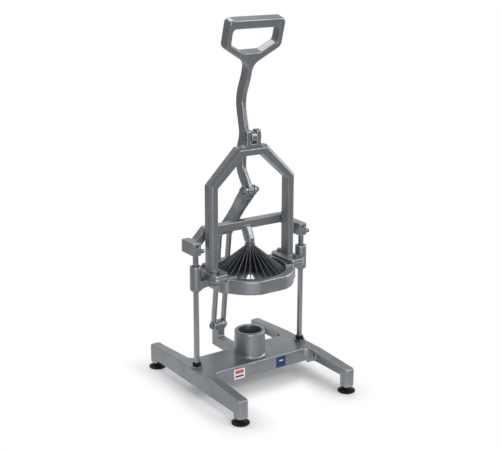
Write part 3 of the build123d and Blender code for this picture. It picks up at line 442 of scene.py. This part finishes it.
labelSetup = {
    "film": "#e6e7ea", "warm": "#cf4a35", "cool": "#27467f", "navy": "#17365f", "bar": "#d5dbe4",
    "warmBand": (34.5, 40.8), "coolBand": (28.0, 31.5),     # heights in mm on the left label
    "left": (-54.6, -37.4),                                 # width of its bands
    "middle": 0.0,                                          # the labels stand each side of this
    "barX": (37.0, 45.5), "barZ": (36.6, 38.6),             # pale bar on the right label
    "roughness": 0.3,
}


def band(tree, value, span):
    # 1 where a height or width in metres lies inside a span given in mm
    above = addNode(tree, "ShaderNodeMath", {"operation": "GREATER_THAN"},
                    i0=value, i1=span[0] * mm).outputs[0]
    below = addNode(tree, "ShaderNodeMath", {"operation": "LESS_THAN"},
                    i0=value, i1=span[1] * mm).outputs[0]
    return addNode(tree, "ShaderNodeMath", {"operation": "MULTIPLY"}, i0=above, i1=below).outputs[0]


def printedFilm(setup):
    # polyester label film, screen printed: flat plain bands with a clear satin face
    material, tree, shader, place = newMaterial("polyester film, printed")
    axes = addNode(tree, "ShaderNodeSeparateXYZ", i0=place).outputs
    across, up = axes["X"], axes["Z"]
    wide = band(tree, across, setup["left"])
    colour = linear(setup["film"])
    for name, span in (("warm", setup["warmBand"]), ("cool", setup["coolBand"])):
        mask = addNode(tree, "ShaderNodeMath", {"operation": "MULTIPLY"},
                       i0=band(tree, up, span), i1=wide).outputs[0]
        colour = addNode(tree, "ShaderNodeMix", {"data_type": "RGBA"}, i0=mask, i6=colour,
                         i7=linear(setup[name])).outputs[2]
    bar = addNode(tree, "ShaderNodeMath", {"operation": "MULTIPLY"},
                  i0=band(tree, across, setup["barX"]), i1=band(tree, up, setup["barZ"])).outputs[0]
    dark = addNode(tree, "ShaderNodeMix", {"data_type": "RGBA"}, i0=bar,
                   i6=linear(setup["navy"]), i7=linear(setup["bar"])).outputs[2]
    onRight = addNode(tree, "ShaderNodeMath", {"operation": "GREATER_THAN"},
                      i0=across, i1=setup["middle"]).outputs[0]
    colour = addNode(tree, "ShaderNodeMix", {"data_type": "RGBA"}, i0=onRight,
                     i6=colour, i7=dark).outputs[2]
    tree.links.new(colour, shader.inputs["Base Color"])
    shader.inputs["Roughness"].default_value = setup["roughness"]
    return material


castAluminium = tumbledCastAluminium(castSetup)
steelOf = {piece: finelyLinedSteel(*steel) for piece, steel in steels.items()}
finishOf = {
    "cast_aluminium": castAluminium,
    "polished_steel": steelOf["rod"],
    "blade_steel": steelOf["blade"],
    "plated_steel": steelOf["bolt"],
    "rubber": mouldedRubber(rubberSetup),
    "bronze": sinteredBronze(bronzeSetup),
    "label_film": printedFilm(labelSetup),
}
for nodeName, slotName in slotOf.items():
    dress(finishOf[slotName], nodeName)
print("finishes on")

# the soft edges and blends that sand castings come out of the tumbler with
castings = {
    # node: size of the grid in mm, rounds of smoothing, share of the faces kept
    "base_casting": (1.25, 4, 0.62),
    "yoke": (0.8, 2, 0.8),
    "blade_ring": (1.0, 5, 0.8),
    "lever": (0.7, 9, 0.8),
    "link": (0.75, 5, 0.8),
    "crossbar": (0.75, 5, 0.8),
    "pedestal": (0.8, 4, 0.8),
}
tumbling = {
    "merge": 0.002,     # mm, corners of the CAD mesh closer than this are one
    "pull": 0.5,        # how far a round of smoothing moves a point towards its neighbours
}


def softCasting(name, grid, rounds, kept):
    # copy of a CAD casting, rebuilt on an even grid and smoothed so that its corners round off
    mesh = nodes[name].data.copy()
    shape = bmesh.new()
    shape.from_mesh(mesh)
    bmesh.ops.remove_doubles(shape, verts=shape.verts, dist=tumbling["merge"] * mm)
    shape.to_mesh(mesh)
    shape.free()
    piece = bpy.data.objects.new(name + "_cast", mesh)
    bpy.context.scene.collection.objects.link(piece)
    remesh = piece.modifiers.new("grid", "REMESH")
    remesh.mode = "VOXEL"
    remesh.voxel_size = grid * mm
    smooth = piece.modifiers.new("tumbling", "SMOOTH")
    smooth.factor = tumbling["pull"]
    smooth.iterations = rounds
    thin = piece.modifiers.new("fewer faces", "DECIMATE")
    thin.ratio = kept
    graph = bpy.context.evaluated_depsgraph_get()
    rounded = bpy.data.meshes.new_from_object(piece.evaluated_get(graph))
    piece.modifiers.clear()
    piece.data = rounded
    rounded.polygons.foreach_set("use_smooth", np.ones(len(rounded.polygons), dtype=bool))
    rounded.materials.clear()
    rounded.materials.append(castAluminium)
    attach(piece, bodyOf[name])
    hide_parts(name)
    print("  ", name, len(rounded.polygons), "faces")


for castingName, castingSetup in castings.items():
    softCasting(castingName, *castingSetup)
print("castings softened")

# turned and hexagonal pieces are loops stacked along an axis, in mm: half width across a hexagon's
# flats, largest radius, height; all of them have the sides that their table or call names
plain = float("inf")        # a loop that no hexagon limits
hexSides = 72               # a multiple of six, so that corners fall on points
fineSides, rodSides = 56, 48
weld = 0.001                # points closer than this become one


def hexagonLoops(flat, start, end, firstEdge=True, lastEdge=True):
    # a hexagonal prism cut by a 30 degree cone at its ends, as nuts and bolt heads are
    corner = flat / math.cos(math.pi / 6)
    drop = (corner - flat) * math.tan(math.pi / 6)
    way = math.copysign(1.0, end - start)
    first, last = [(flat, corner, start)], [(flat, corner, end)]
    shares = np.linspace(0, 1, 4)
    if firstEdge:
        first = [(flat, flat + (corner - flat) * s, start + way * drop * s) for s in shares]
    if lastEdge:
        last = [(flat, corner - (corner - flat) * s, end - way * drop * (1 - s)) for s in shares]
    return first + last


def turnedMesh(name, loops, places, axis, segments=rodSides, tube=False, teeth=None):
    # loop k is the curve min(flat / cos(angle to the nearest flat), cap) at height z along the axis;
    # teeth adds a ripple of (count, depth, first height, last height) for a knurl
    direction = Vector(axis).normalized()
    across = direction.orthogonal().normalized()
    if abs(direction.z) > 0.9:      # along Z the loops start at +Y
        across = Vector((0, 1, 0))
    up = direction.cross(across)
    angle = np.linspace(0, 2 * np.pi, segments, endpoint=False)
    toFlat = np.mod(angle + np.pi / 6, np.pi / 3) - np.pi / 6
    flat, cap, height = (np.array(v, dtype=float) for v in zip(*loops))
    radius = np.minimum(flat[:, None] / np.cos(toFlat), cap[:, None])
    if teeth:
        count, depth, low, high = teeth
        knurled = ((height >= low) & (height <= high))[:, None]
        radius = radius - knurled * depth * (0.5 - 0.5 * np.cos(count * angle))
    spots = (radius[:, :, None] * (np.cos(angle)[None, :, None] * np.array(across)
                                   + np.sin(angle)[None, :, None] * np.array(up))
             + height[:, None, None] * np.array(direction)) * mm
    count, rows = segments, len(loops)
    one = spots.reshape(-1, 3)
    vertices = np.concatenate([one + np.array(place) for place in places])
    row, column = np.meshgrid(np.arange(rows if tube else rows - 1), np.arange(count), indexing="ij")
    nextRow, nextColumn = (row + 1) % rows, (column + 1) % count
    quads = np.stack([row * count + column, row * count + nextColumn,
                      nextRow * count + nextColumn, nextRow * count + column], axis=-1).reshape(-1, 4)
    faces = []
    for number in range(len(places)):
        shift = number * rows * count
        faces += (quads + shift).tolist()
        if not tube:
            faces.append((np.arange(count)[::-1] + shift).tolist())
            faces.append((np.arange(count) + (rows - 1) * count + shift).tolist())
    mesh = bpy.data.meshes.new(name)
    mesh.from_pydata(vertices.tolist(), [], faces)
    return mesh


def placePiece(name, mesh, node, edge=0.0, sharp=32, finish=None):
    # closes and turns the mesh, rounds its edges by edge mm where faces meet at more than sharp
    # degrees, and lets it stand for its CAD node
    shape = bmesh.new()
    shape.from_mesh(mesh)
    bmesh.ops.remove_doubles(shape, verts=shape.verts, dist=weld * mm)
    bmesh.ops.recalc_face_normals(shape, faces=shape.faces)
    shape.to_mesh(mesh)
    shape.free()
    mesh.polygons.foreach_set("use_smooth", np.ones(len(mesh.polygons), dtype=bool))
    mesh.set_sharp_from_angle(angle=math.radians(sharp))
    mesh.materials.append(finish or finishOf[slotOf[node]])
    piece = bpy.data.objects.new(name, mesh)
    bpy.context.scene.collection.objects.link(piece)
    if edge:
        bevel = piece.modifiers.new("edge", "BEVEL")
        bevel.width = edge * mm
        bevel.segments = 2
        bevel.limit_method = "ANGLE"
        bevel.angle_limit = math.radians(sharp)
    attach(piece, bodyOf[node])
    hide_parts(node)


def middleOf(node):
    low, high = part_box(node)
    return [(low[i] + high[i]) / 2 for i in range(3)]


def spanOf(node, axis):
    low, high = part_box(node)
    return low[axis], high[axis]


def spanInMm(node, axis):
    return [end / mm for end in spanOf(node, axis)]


def halfWidth(node, axis):
    # half of a node's width, in mm
    low, high = spanOf(node, axis)
    return (high - low) / 2 / mm


footShape = {
    "pad": 15.0, "neck": 6.5, "rim": (0.8, 2.3), "neckHeight": 7.4, "height": 10.0,
    "recess": (5.3, 4.0), "hole": 2.55,     # recess for the screw's head: radius and depth
    "hollow": 1.3, "backLoops": 9,          # how far the back curves in from straight
    "edge": 0.25, "sharp": 40,
}


def makeFoot(node, setup):
    # rubber foot: a pad whose back sweeps up to a neck in a hollow curve, a straight line from the
    # rim to the neck less a half sine wave
    pad, neck, hole, height = setup["pad"], setup["neck"], setup["hole"], setup["height"]
    chamfer, rim = setup["rim"]
    recess, deep = setup["recess"]
    share = np.linspace(0, 1, setup["backLoops"])[1:-1]
    swept = [(plain, pad + (neck - pad) * s - setup["hollow"] * math.sin(math.pi * s),
              rim + (setup["neckHeight"] - rim) * s) for s in share]
    loops = [(plain, hole, deep), (plain, recess, deep), (plain, recess, 0.0),
             (plain, pad - chamfer, 0.0), (plain, pad, chamfer), (plain, pad, rim), *swept,
             (plain, neck, setup["neckHeight"]), (plain, neck, height), (plain, hole, height)]
    centre = middleOf(node)
    mesh = turnedMesh(node, loops, [(centre[0], centre[1], 0.0)], (0, 0, 1), fineSides, tube=True)
    placePiece(node + "_rubber", mesh, node, setup["edge"], setup["sharp"])


for footName in [name for name in nodes if name.startswith("foot_") and name != "foot_screws"]:
    makeFoot(footName, footShape)
print("feet made")

rodShape = {
    "edge": 0.6,                                # chamfers, mm
    "threadRadius": 4.0, "pitch": 1.25, "depth": 0.6,
    "perTurn": 8,                               # loops in one turn of the thread
    "tail": 9.0,                                # length of the threaded end
    "margin": 0.01,                             # mm at its ends that keep their radius
    "sides": 40, "sharp": 35,
}


def makeRod(node, setup):
    # ground rod with a cut thread below its shoulder; the thread's crest climbs one pitch in a turn:
    # its depth is |2 phase - 1| with the phase height / pitch - angle / full turn
    low, high = spanOf(node, 2)
    middle = middleOf(node)
    radius = halfWidth(node, 0)
    edge, threadRadius = setup["edge"], setup["threadRadius"]
    bottom, shoulder, top = low / mm, low / mm + setup["tail"], high / mm
    steps = np.arange(bottom, shoulder, setup["pitch"] / setup["perTurn"])
    loops = [(plain, threadRadius - edge, bottom)]
    loops += [(plain, threadRadius, height) for height in steps[1:]]
    loops += [(plain, radius - edge, shoulder), (plain, radius, shoulder + edge),
              (plain, radius, top - edge), (plain, radius - edge, top)]
    mesh = turnedMesh(node, loops, [(middle[0], middle[1], 0.0)], (0, 0, 1), setup["sides"])
    spots = np.empty(len(mesh.vertices) * 3)
    mesh.vertices.foreach_get("co", spots)
    spots = spots.reshape(-1, 3)
    height = spots[:, 2] / mm
    side = spots[:, :2] - np.array(middle[:2])
    phase = np.mod(height / setup["pitch"] - np.arctan2(side[:, 1], side[:, 0]) / (2 * np.pi), 1.0)
    cut = np.abs(2 * phase - 1) * setup["depth"]
    threaded = (height > bottom + setup["margin"]) & (height < shoulder - setup["margin"])
    shrink = np.where(threaded, 1 - cut / threadRadius, 1.0)
    spots[:, :2] = np.array(middle[:2]) + side * shrink[:, None]
    mesh.vertices.foreach_set("co", spots.reshape(-1))
    placePiece(node + "_ground", mesh, node, 0.0, setup["sharp"])


rodNames = ("guide_rod_left", "guide_rod_right")
for rodName in rodNames:
    makeRod(rodName, rodShape)
print("rods made")

rodPlaces = [(middleOf(name)[0], middleOf(name)[1], 0.0) for name in rodNames]
rodRadius = halfWidth("guide_rod_left", 0)

rodFasteners = {
    "fit": 0.05, "threadFit": 0.1,          # play round the rod and round its thread, mm
    "collarEdge": 0.2, "nutEdge": 0.15,
    "crown": 1.6, "crownLoops": 5,          # radius of the bumper's top edge
    "lip": 0.3,                             # chamfer of the bumper's bore
}


def makeRodFasteners(setup):
    # hexagonal collar over the base, black bumper on it, nut on the thread below
    bore = rodRadius + setup["fit"]
    low, high = spanInMm("rod_collars", 2)
    flat = min((spanOf("rod_collars", 0)[1] - rodPlaces[1][0]) / mm, halfWidth("rod_collars", 1))
    loops = [(plain, bore, low), *hexagonLoops(flat, low, high, firstEdge=False), (plain, bore, high)]
    mesh = turnedMesh("rod_collars", loops, rodPlaces, (0, 0, 1), hexSides, tube=True)
    placePiece("rod_collars_plated", mesh, "rod_collars", setup["collarEdge"])

    threadBore = rodShape["threadRadius"] + setup["threadFit"]
    low, high = spanInMm("rod_nuts", 2)
    flat = min((spanOf("rod_nuts", 0)[1] - rodPlaces[1][0]) / mm, halfWidth("rod_nuts", 1))
    loops = [(plain, threadBore, low), *hexagonLoops(flat, low, high), (plain, threadBore, high)]
    mesh = turnedMesh("rod_nuts", loops, rodPlaces, (0, 0, 1), hexSides, tube=True)
    placePiece("rod_nuts_plated", mesh, "rod_nuts", setup["nutEdge"])

    crown, lip = setup["crown"], setup["lip"]
    turn = np.linspace(0, math.pi / 2, setup["crownLoops"])
    for node, place in zip(("rod_bumper_left", "rod_bumper_right"), rodPlaces):
        low, high = spanInMm(node, 2)
        radius = halfWidth(node, 0)
        rounded = [(plain, radius - crown * (1 - math.cos(a)), high - crown + crown * math.sin(a))
                   for a in turn]
        loops = [(plain, bore, low), (plain, radius, low), *rounded, (plain, rodRadius + lip, high),
                 (plain, bore, high - lip)]
        mesh = turnedMesh(node, loops, [place], (0, 0, 1), rodSides, tube=True)
        placePiece(node + "_rubber", mesh, node)


makeRodFasteners(rodFasteners)
print("rod fasteners made")

screws = {
    # node: head radius, head length, shank radius, half width of the socket, its depth, all in mm
    "yoke_screws": (4.25, 5.0, 2.5, 2.0, 2.6),
    "crossbar_clamp_screws": (3.5, 8.5, 2.5, 1.6, 2.4),
    "link_pivot_screws": (6.0, 3.6, 4.0, 2.4, 1.9),
}
screwDetail = {
    "tip": (0.4, 0.5, 0.6),     # radius at the tip, then its chamfer inwards and along
    "under": 0.2,               # chamfer under the head
    "edge": 0.5,                # rounding of the head's top edge
    "pivotEdge": 1.2,           # the same on the link's wide flat heads
    "bow": 0.3,                 # how far that edge's middle stays off the corner, as a share of it
    "corner": 1.155,            # corner of a hexagonal socket, in half widths
    "mouth": (1.22, 0.4),       # radius of its chamfer in half widths, and depth
    "drill": (0.3, 0.5),        # point of the drill hole under it: radius and depth
    "knurl": (24, 0.22),        # ridges round the head, and their depth
    "rims": (0.1, 0.4),         # plain rims below and above the ridges
    "postGap": 0.3,             # between a pivot screw's tip and the post
}


def capScrewLoops(radius, head, tip, shank, socket, deep, edge=screwDetail["edge"]):
    # socket head screw: head from z = 0 down to -head, shank to tip, hexagonal socket from the top
    tipRadius, tipIn, tipAlong = screwDetail["tip"]
    under, bow, corner = screwDetail["under"], screwDetail["bow"], screwDetail["corner"]
    mouth, mouthDeep = screwDetail["mouth"]
    drill, drillDeep = screwDetail["drill"]
    return [(plain, tipRadius, tip), (plain, shank - tipIn, tip), (plain, shank, tip + tipAlong),
            (plain, shank, -head), (plain, radius - under, -head), (plain, radius, -head + under),
            (plain, radius, -edge), (plain, radius - edge * bow, -edge * bow),
            (plain, radius - edge, 0.0), (plain, socket * mouth, 0.0),
            (socket, socket * corner, -mouthDeep), (socket, socket * corner, -deep),
            (plain, drill, -deep - drillDeep)]


def knurlOf(head):
    # the ridges of a head: count, depth, first and last height
    below, above = screwDetail["rims"]
    return (*screwDetail["knurl"], -head + below, -above)


def makeScrews():
    radius, head, shank, socket, deep = screws["yoke_screws"]
    low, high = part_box("yoke_screws")
    places = [(x, y, high[2]) for x in (low[0] + radius * mm, high[0] - radius * mm)
              for y in (low[1] + radius * mm, high[1] - radius * mm)]
    loops = capScrewLoops(radius, head, (low[2] - high[2]) / mm, shank, socket, deep)
    mesh = turnedMesh("yoke_screws", loops, places, (0, 0, 1), hexSides, teeth=knurlOf(head))
    placePiece("yoke_screws_plated", mesh, "yoke_screws")

    radius, head, shank, socket, deep = screws["crossbar_clamp_screws"]
    low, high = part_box("crossbar_clamp_screws")
    middle = middleOf("crossbar_clamp_screws")
    apart = rodPlaces[1][0] - rodPlaces[0][0]
    long = (high[0] - low[0] - apart) / mm
    places = [(x, middle[1], middle[2]) for x in (high[0] - apart, high[0])]
    loops = capScrewLoops(radius, head, -long, shank, socket, deep)
    mesh = turnedMesh("crossbar_clamp_screws", loops, places, (1, 0, 0), hexSides, teeth=knurlOf(head))
    placePiece("crossbar_clamp_screws_plated", mesh, "crossbar_clamp_screws")

    radius, head, shank, socket, deep = screws["link_pivot_screws"]
    low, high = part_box("link_pivot_screws")
    middle = middleOf("link_pivot_screws")
    postHalf = (spanOf("post_bushing", 0)[1] - spanOf("post_bushing", 0)[0]) / 2
    long = (high[0] - postHalf) / mm - screwDetail["postGap"]
    loops = capScrewLoops(radius, head, -long, shank, socket, deep, screwDetail["pivotEdge"])
    right = turnedMesh("link_pivot_right", loops, [(high[0], middle[1], middle[2])], (1, 0, 0), fineSides)
    left = turnedMesh("link_pivot_left", loops, [(low[0], middle[1], middle[2])], (-1, 0, 0), fineSides)
    both = bmesh.new()
    both.from_mesh(right)
    both.from_mesh(left)
    both.to_mesh(right)
    both.free()
    placePiece("link_pivot_screws_plated", right, "link_pivot_screws")


makeScrews()
print("screws made")

kneeShape = {
    "bolt": 4.0, "bore": 4.05,              # radius of the bolt and of what fits over it, mm
    "tip": 0.5,                             # chamfer at the bolt's end
    "headEdge": 0.15, "nutEdge": 0.1,
    "shoulder": 0.5, "domeLoops": 7,        # step from the nut's flats in to its dome
    "crown": 0.3,                           # radius of the flat on top of the dome
    "blind": (0.2, 0.6),                    # end of the nut's bore: radius, depth under the dome
    "past": 0.1,                            # bore beyond the end of the bolt
    "washerEdge": 0.3, "washerPlay": 0.4,
}


def makeKneeFasteners(setup):
    # bolt with a hexagonal head on the left, dome nut on the right, a washer inside each side of the fork
    low, high = spanInMm("link_bolt", 0)
    centre = middleOf("link_bolt")
    place = [(0.0, centre[1], centre[2])]
    flat = min(halfWidth("link_bolt", 2), halfWidth("link_bolt", 1))
    nutLow, nutHigh = spanInMm("link_nut", 0)
    bolt, bore = setup["bolt"], setup["bore"]
    head = -nutLow - low        # the bolt's head is as thick as the nut's hexagon
    loops = [*hexagonLoops(flat, low, low + head, lastEdge=False), (plain, bolt, low + head),
             (plain, bolt, high - setup["tip"]), (plain, bolt - setup["tip"], high)]
    mesh = turnedMesh("knee_bolt", loops, place, (1, 0, 0), hexSides)
    placePiece("knee_bolt_plated", mesh, "link_bolt", setup["headEdge"])

    dome = flat - setup["shoulder"]
    rise = nutHigh - nutLow - head
    turn = np.linspace(0, math.pi / 2, setup["domeLoops"])
    cap = [(plain, dome * math.cos(a), nutLow + head + rise * math.sin(a)) for a in turn[:-1]]
    blind, blindDeep = setup["blind"]
    loops = [(plain, bore, nutLow), *hexagonLoops(flat, nutLow, nutLow + head, firstEdge=False), *cap,
             (plain, setup["crown"], nutHigh), (plain, blind, nutHigh - blindDeep),
             (plain, bore, high + setup["past"])]
    mesh = turnedMesh("knee_nut", loops, place, (1, 0, 0), hexSides, tube=True)
    placePiece("knee_nut_plated", mesh, "link_nut", setup["nutEdge"])

    inner = halfWidth("knee_bushing", 0)
    high = spanInMm("link_washers", 0)[1]
    radius = halfWidth("link_washers", 2)
    edge = setup["washerEdge"]
    half = (high - inner - setup["washerPlay"]) / 2
    loops = [(plain, bore, -half), (plain, radius - edge, -half), (plain, radius, -half + edge),
             (plain, radius, half - edge), (plain, radius - edge, half), (plain, bore, half)]
    places = [(side * (high - half) * mm, centre[1], centre[2]) for side in (-1, 1)]
    mesh = turnedMesh("knee_washers", loops, places, (1, 0, 0), fineSides, tube=True)
    placePiece("knee_washers_plated", mesh, "link_washers")


makeKneeFasteners(kneeShape)
print("knee fasteners made")

leverPinShape = {"edge": 1.0, "edgeLoops": 4}       # rounding of its ends, mm


def makeLeverPin(setup):
    # plain pin with rounded ends; its spring clips keep their CAD solids
    high = spanInMm("lever_pin", 0)[1]
    centre = middleOf("lever_pin")
    radius = halfWidth("lever_pin", 2)
    edge = setup["edge"]
    turn = np.linspace(0, math.pi / 2, setup["edgeLoops"])
    right = [(plain, radius - edge * (1 - math.cos(a)), high - edge + edge * math.sin(a)) for a in turn]
    left = [(plain, r, -z) for _, r, z in reversed(right)]
    mesh = turnedMesh("lever_pin", left + right, [(0.0, centre[1], centre[2])], (1, 0, 0))
    placePiece("lever_pin_plated", mesh, "lever_pin")


makeLeverPin(leverPinShape)
print("lever pin made")

coreShape = {
    "wall": 1.3, "lip": 0.15, "ground": 2.2,    # tube: wall, flat of its lower edge, height ground off
    "tubeEdge": 0.3,
    "fit": 0.05, "collarEdges": (0.4, 0.6),     # collar: play on the tube, chamfers below and above
}


def makeCore(setup):
    # drawn tube with its lower lip ground to an edge, and a collar over the blades
    low, high = spanInMm("core_tube", 2)
    outer = halfWidth("core_tube", 0)
    bore = outer - setup["wall"]
    edge = setup["tubeEdge"]
    loops = [(plain, bore, low), (plain, bore + setup["lip"], low), (plain, outer, low + setup["ground"]),
             (plain, outer, high - edge), (plain, outer - edge, high), (plain, bore + edge, high),
             (plain, bore, high - edge)]
    mesh = turnedMesh("core_tube", loops, [(0, 0, 0)], (0, 0, 1), fineSides, tube=True)
    placePiece("core_tube_drawn", mesh, "core_tube", finish=steelOf["tube"])

    low, high = spanInMm("core_collar", 2)
    radius = halfWidth("core_collar", 0)
    bore = outer + setup["fit"]
    below, above = setup["collarEdges"]
    loops = [(plain, bore, low), (plain, radius - below, low), (plain, radius, low + below),
             (plain, radius, high - above), (plain, radius - above, high), (plain, bore, high)]
    mesh = turnedMesh("core_collar", loops, [(0, 0, 0)], (0, 0, 1), fineSides, tube=True)
    placePiece("core_collar_turned", mesh, "core_collar")


makeCore(coreShape)
print("core made")

bladeShape = {
    "count": 28, "thick": 1.0,
    "ground": 3.5, "edge": 0.12,    # height of the ground edge and width of what it leaves, mm
    "near": 1.0,                    # points this close to an end of a blade belong to it
    "short": 0.01,                  # mm kept off the ring
    "sharp": 10,
}


def makeBlades(setup):
    # each blade is a six-cornered section drawn from the core out to the ring and lower there, its
    # lower edge ground on both sides; blades are turned by (number + 1/2) of a full turn / count
    source = nodes["blades_odd"].data
    spots = np.empty(len(source.vertices) * 3)
    source.vertices.foreach_get("co", spots)
    spots = spots.reshape(-1, 3)
    away = np.hypot(spots[:, 0], spots[:, 1])
    outer, inner = away.max(), away.min()
    atEnd = spots[away > outer - setup["near"] * mm][:, 2]
    atRoot = spots[away < inner + setup["near"] * mm][:, 2]
    thick, edge, ground = setup["thick"] * mm / 2, setup["edge"] * mm / 2, setup["ground"] * mm
    section = []
    for reach, bottom, top in ((inner, atRoot.min(), atRoot.max()),
                               (outer - setup["short"] * mm, atEnd.min(), atEnd.max())):
        section += [(reach, -thick, top), (reach, thick, top), (reach, thick, bottom + ground),
                    (reach, edge, bottom), (reach, -edge, bottom), (reach, -thick, bottom + ground)]
    section = np.array(section)
    corners = len(section) // 2
    sides = [[i, (i + 1) % corners, corners + (i + 1) % corners, corners + i] for i in range(corners)]
    root = list(range(corners))[::-1]
    end = list(range(corners, 2 * corners))
    for first, node in ((0, "blades_odd"), (1, "blades_even")):
        turns = (np.arange(first, setup["count"], 2) + 0.5) * 2 * np.pi / setup["count"]
        x = section[None, :, 0] * np.cos(turns)[:, None] - section[None, :, 1] * np.sin(turns)[:, None]
        y = section[None, :, 0] * np.sin(turns)[:, None] + section[None, :, 1] * np.cos(turns)[:, None]
        z = np.broadcast_to(section[None, :, 2], x.shape)
        vertices = np.stack([x, y, z], axis=-1).reshape(-1, 3)
        faces = [[corner + len(section) * number for corner in face]
                 for number in range(len(turns)) for face in (*sides, root, end)]
        mesh = bpy.data.meshes.new(node)
        mesh.from_pydata(vertices.tolist(), [], faces)
        placePiece(node + "_ground", mesh, node, 0.0, setup["sharp"])


makeBlades(bladeShape)
print("blades made")
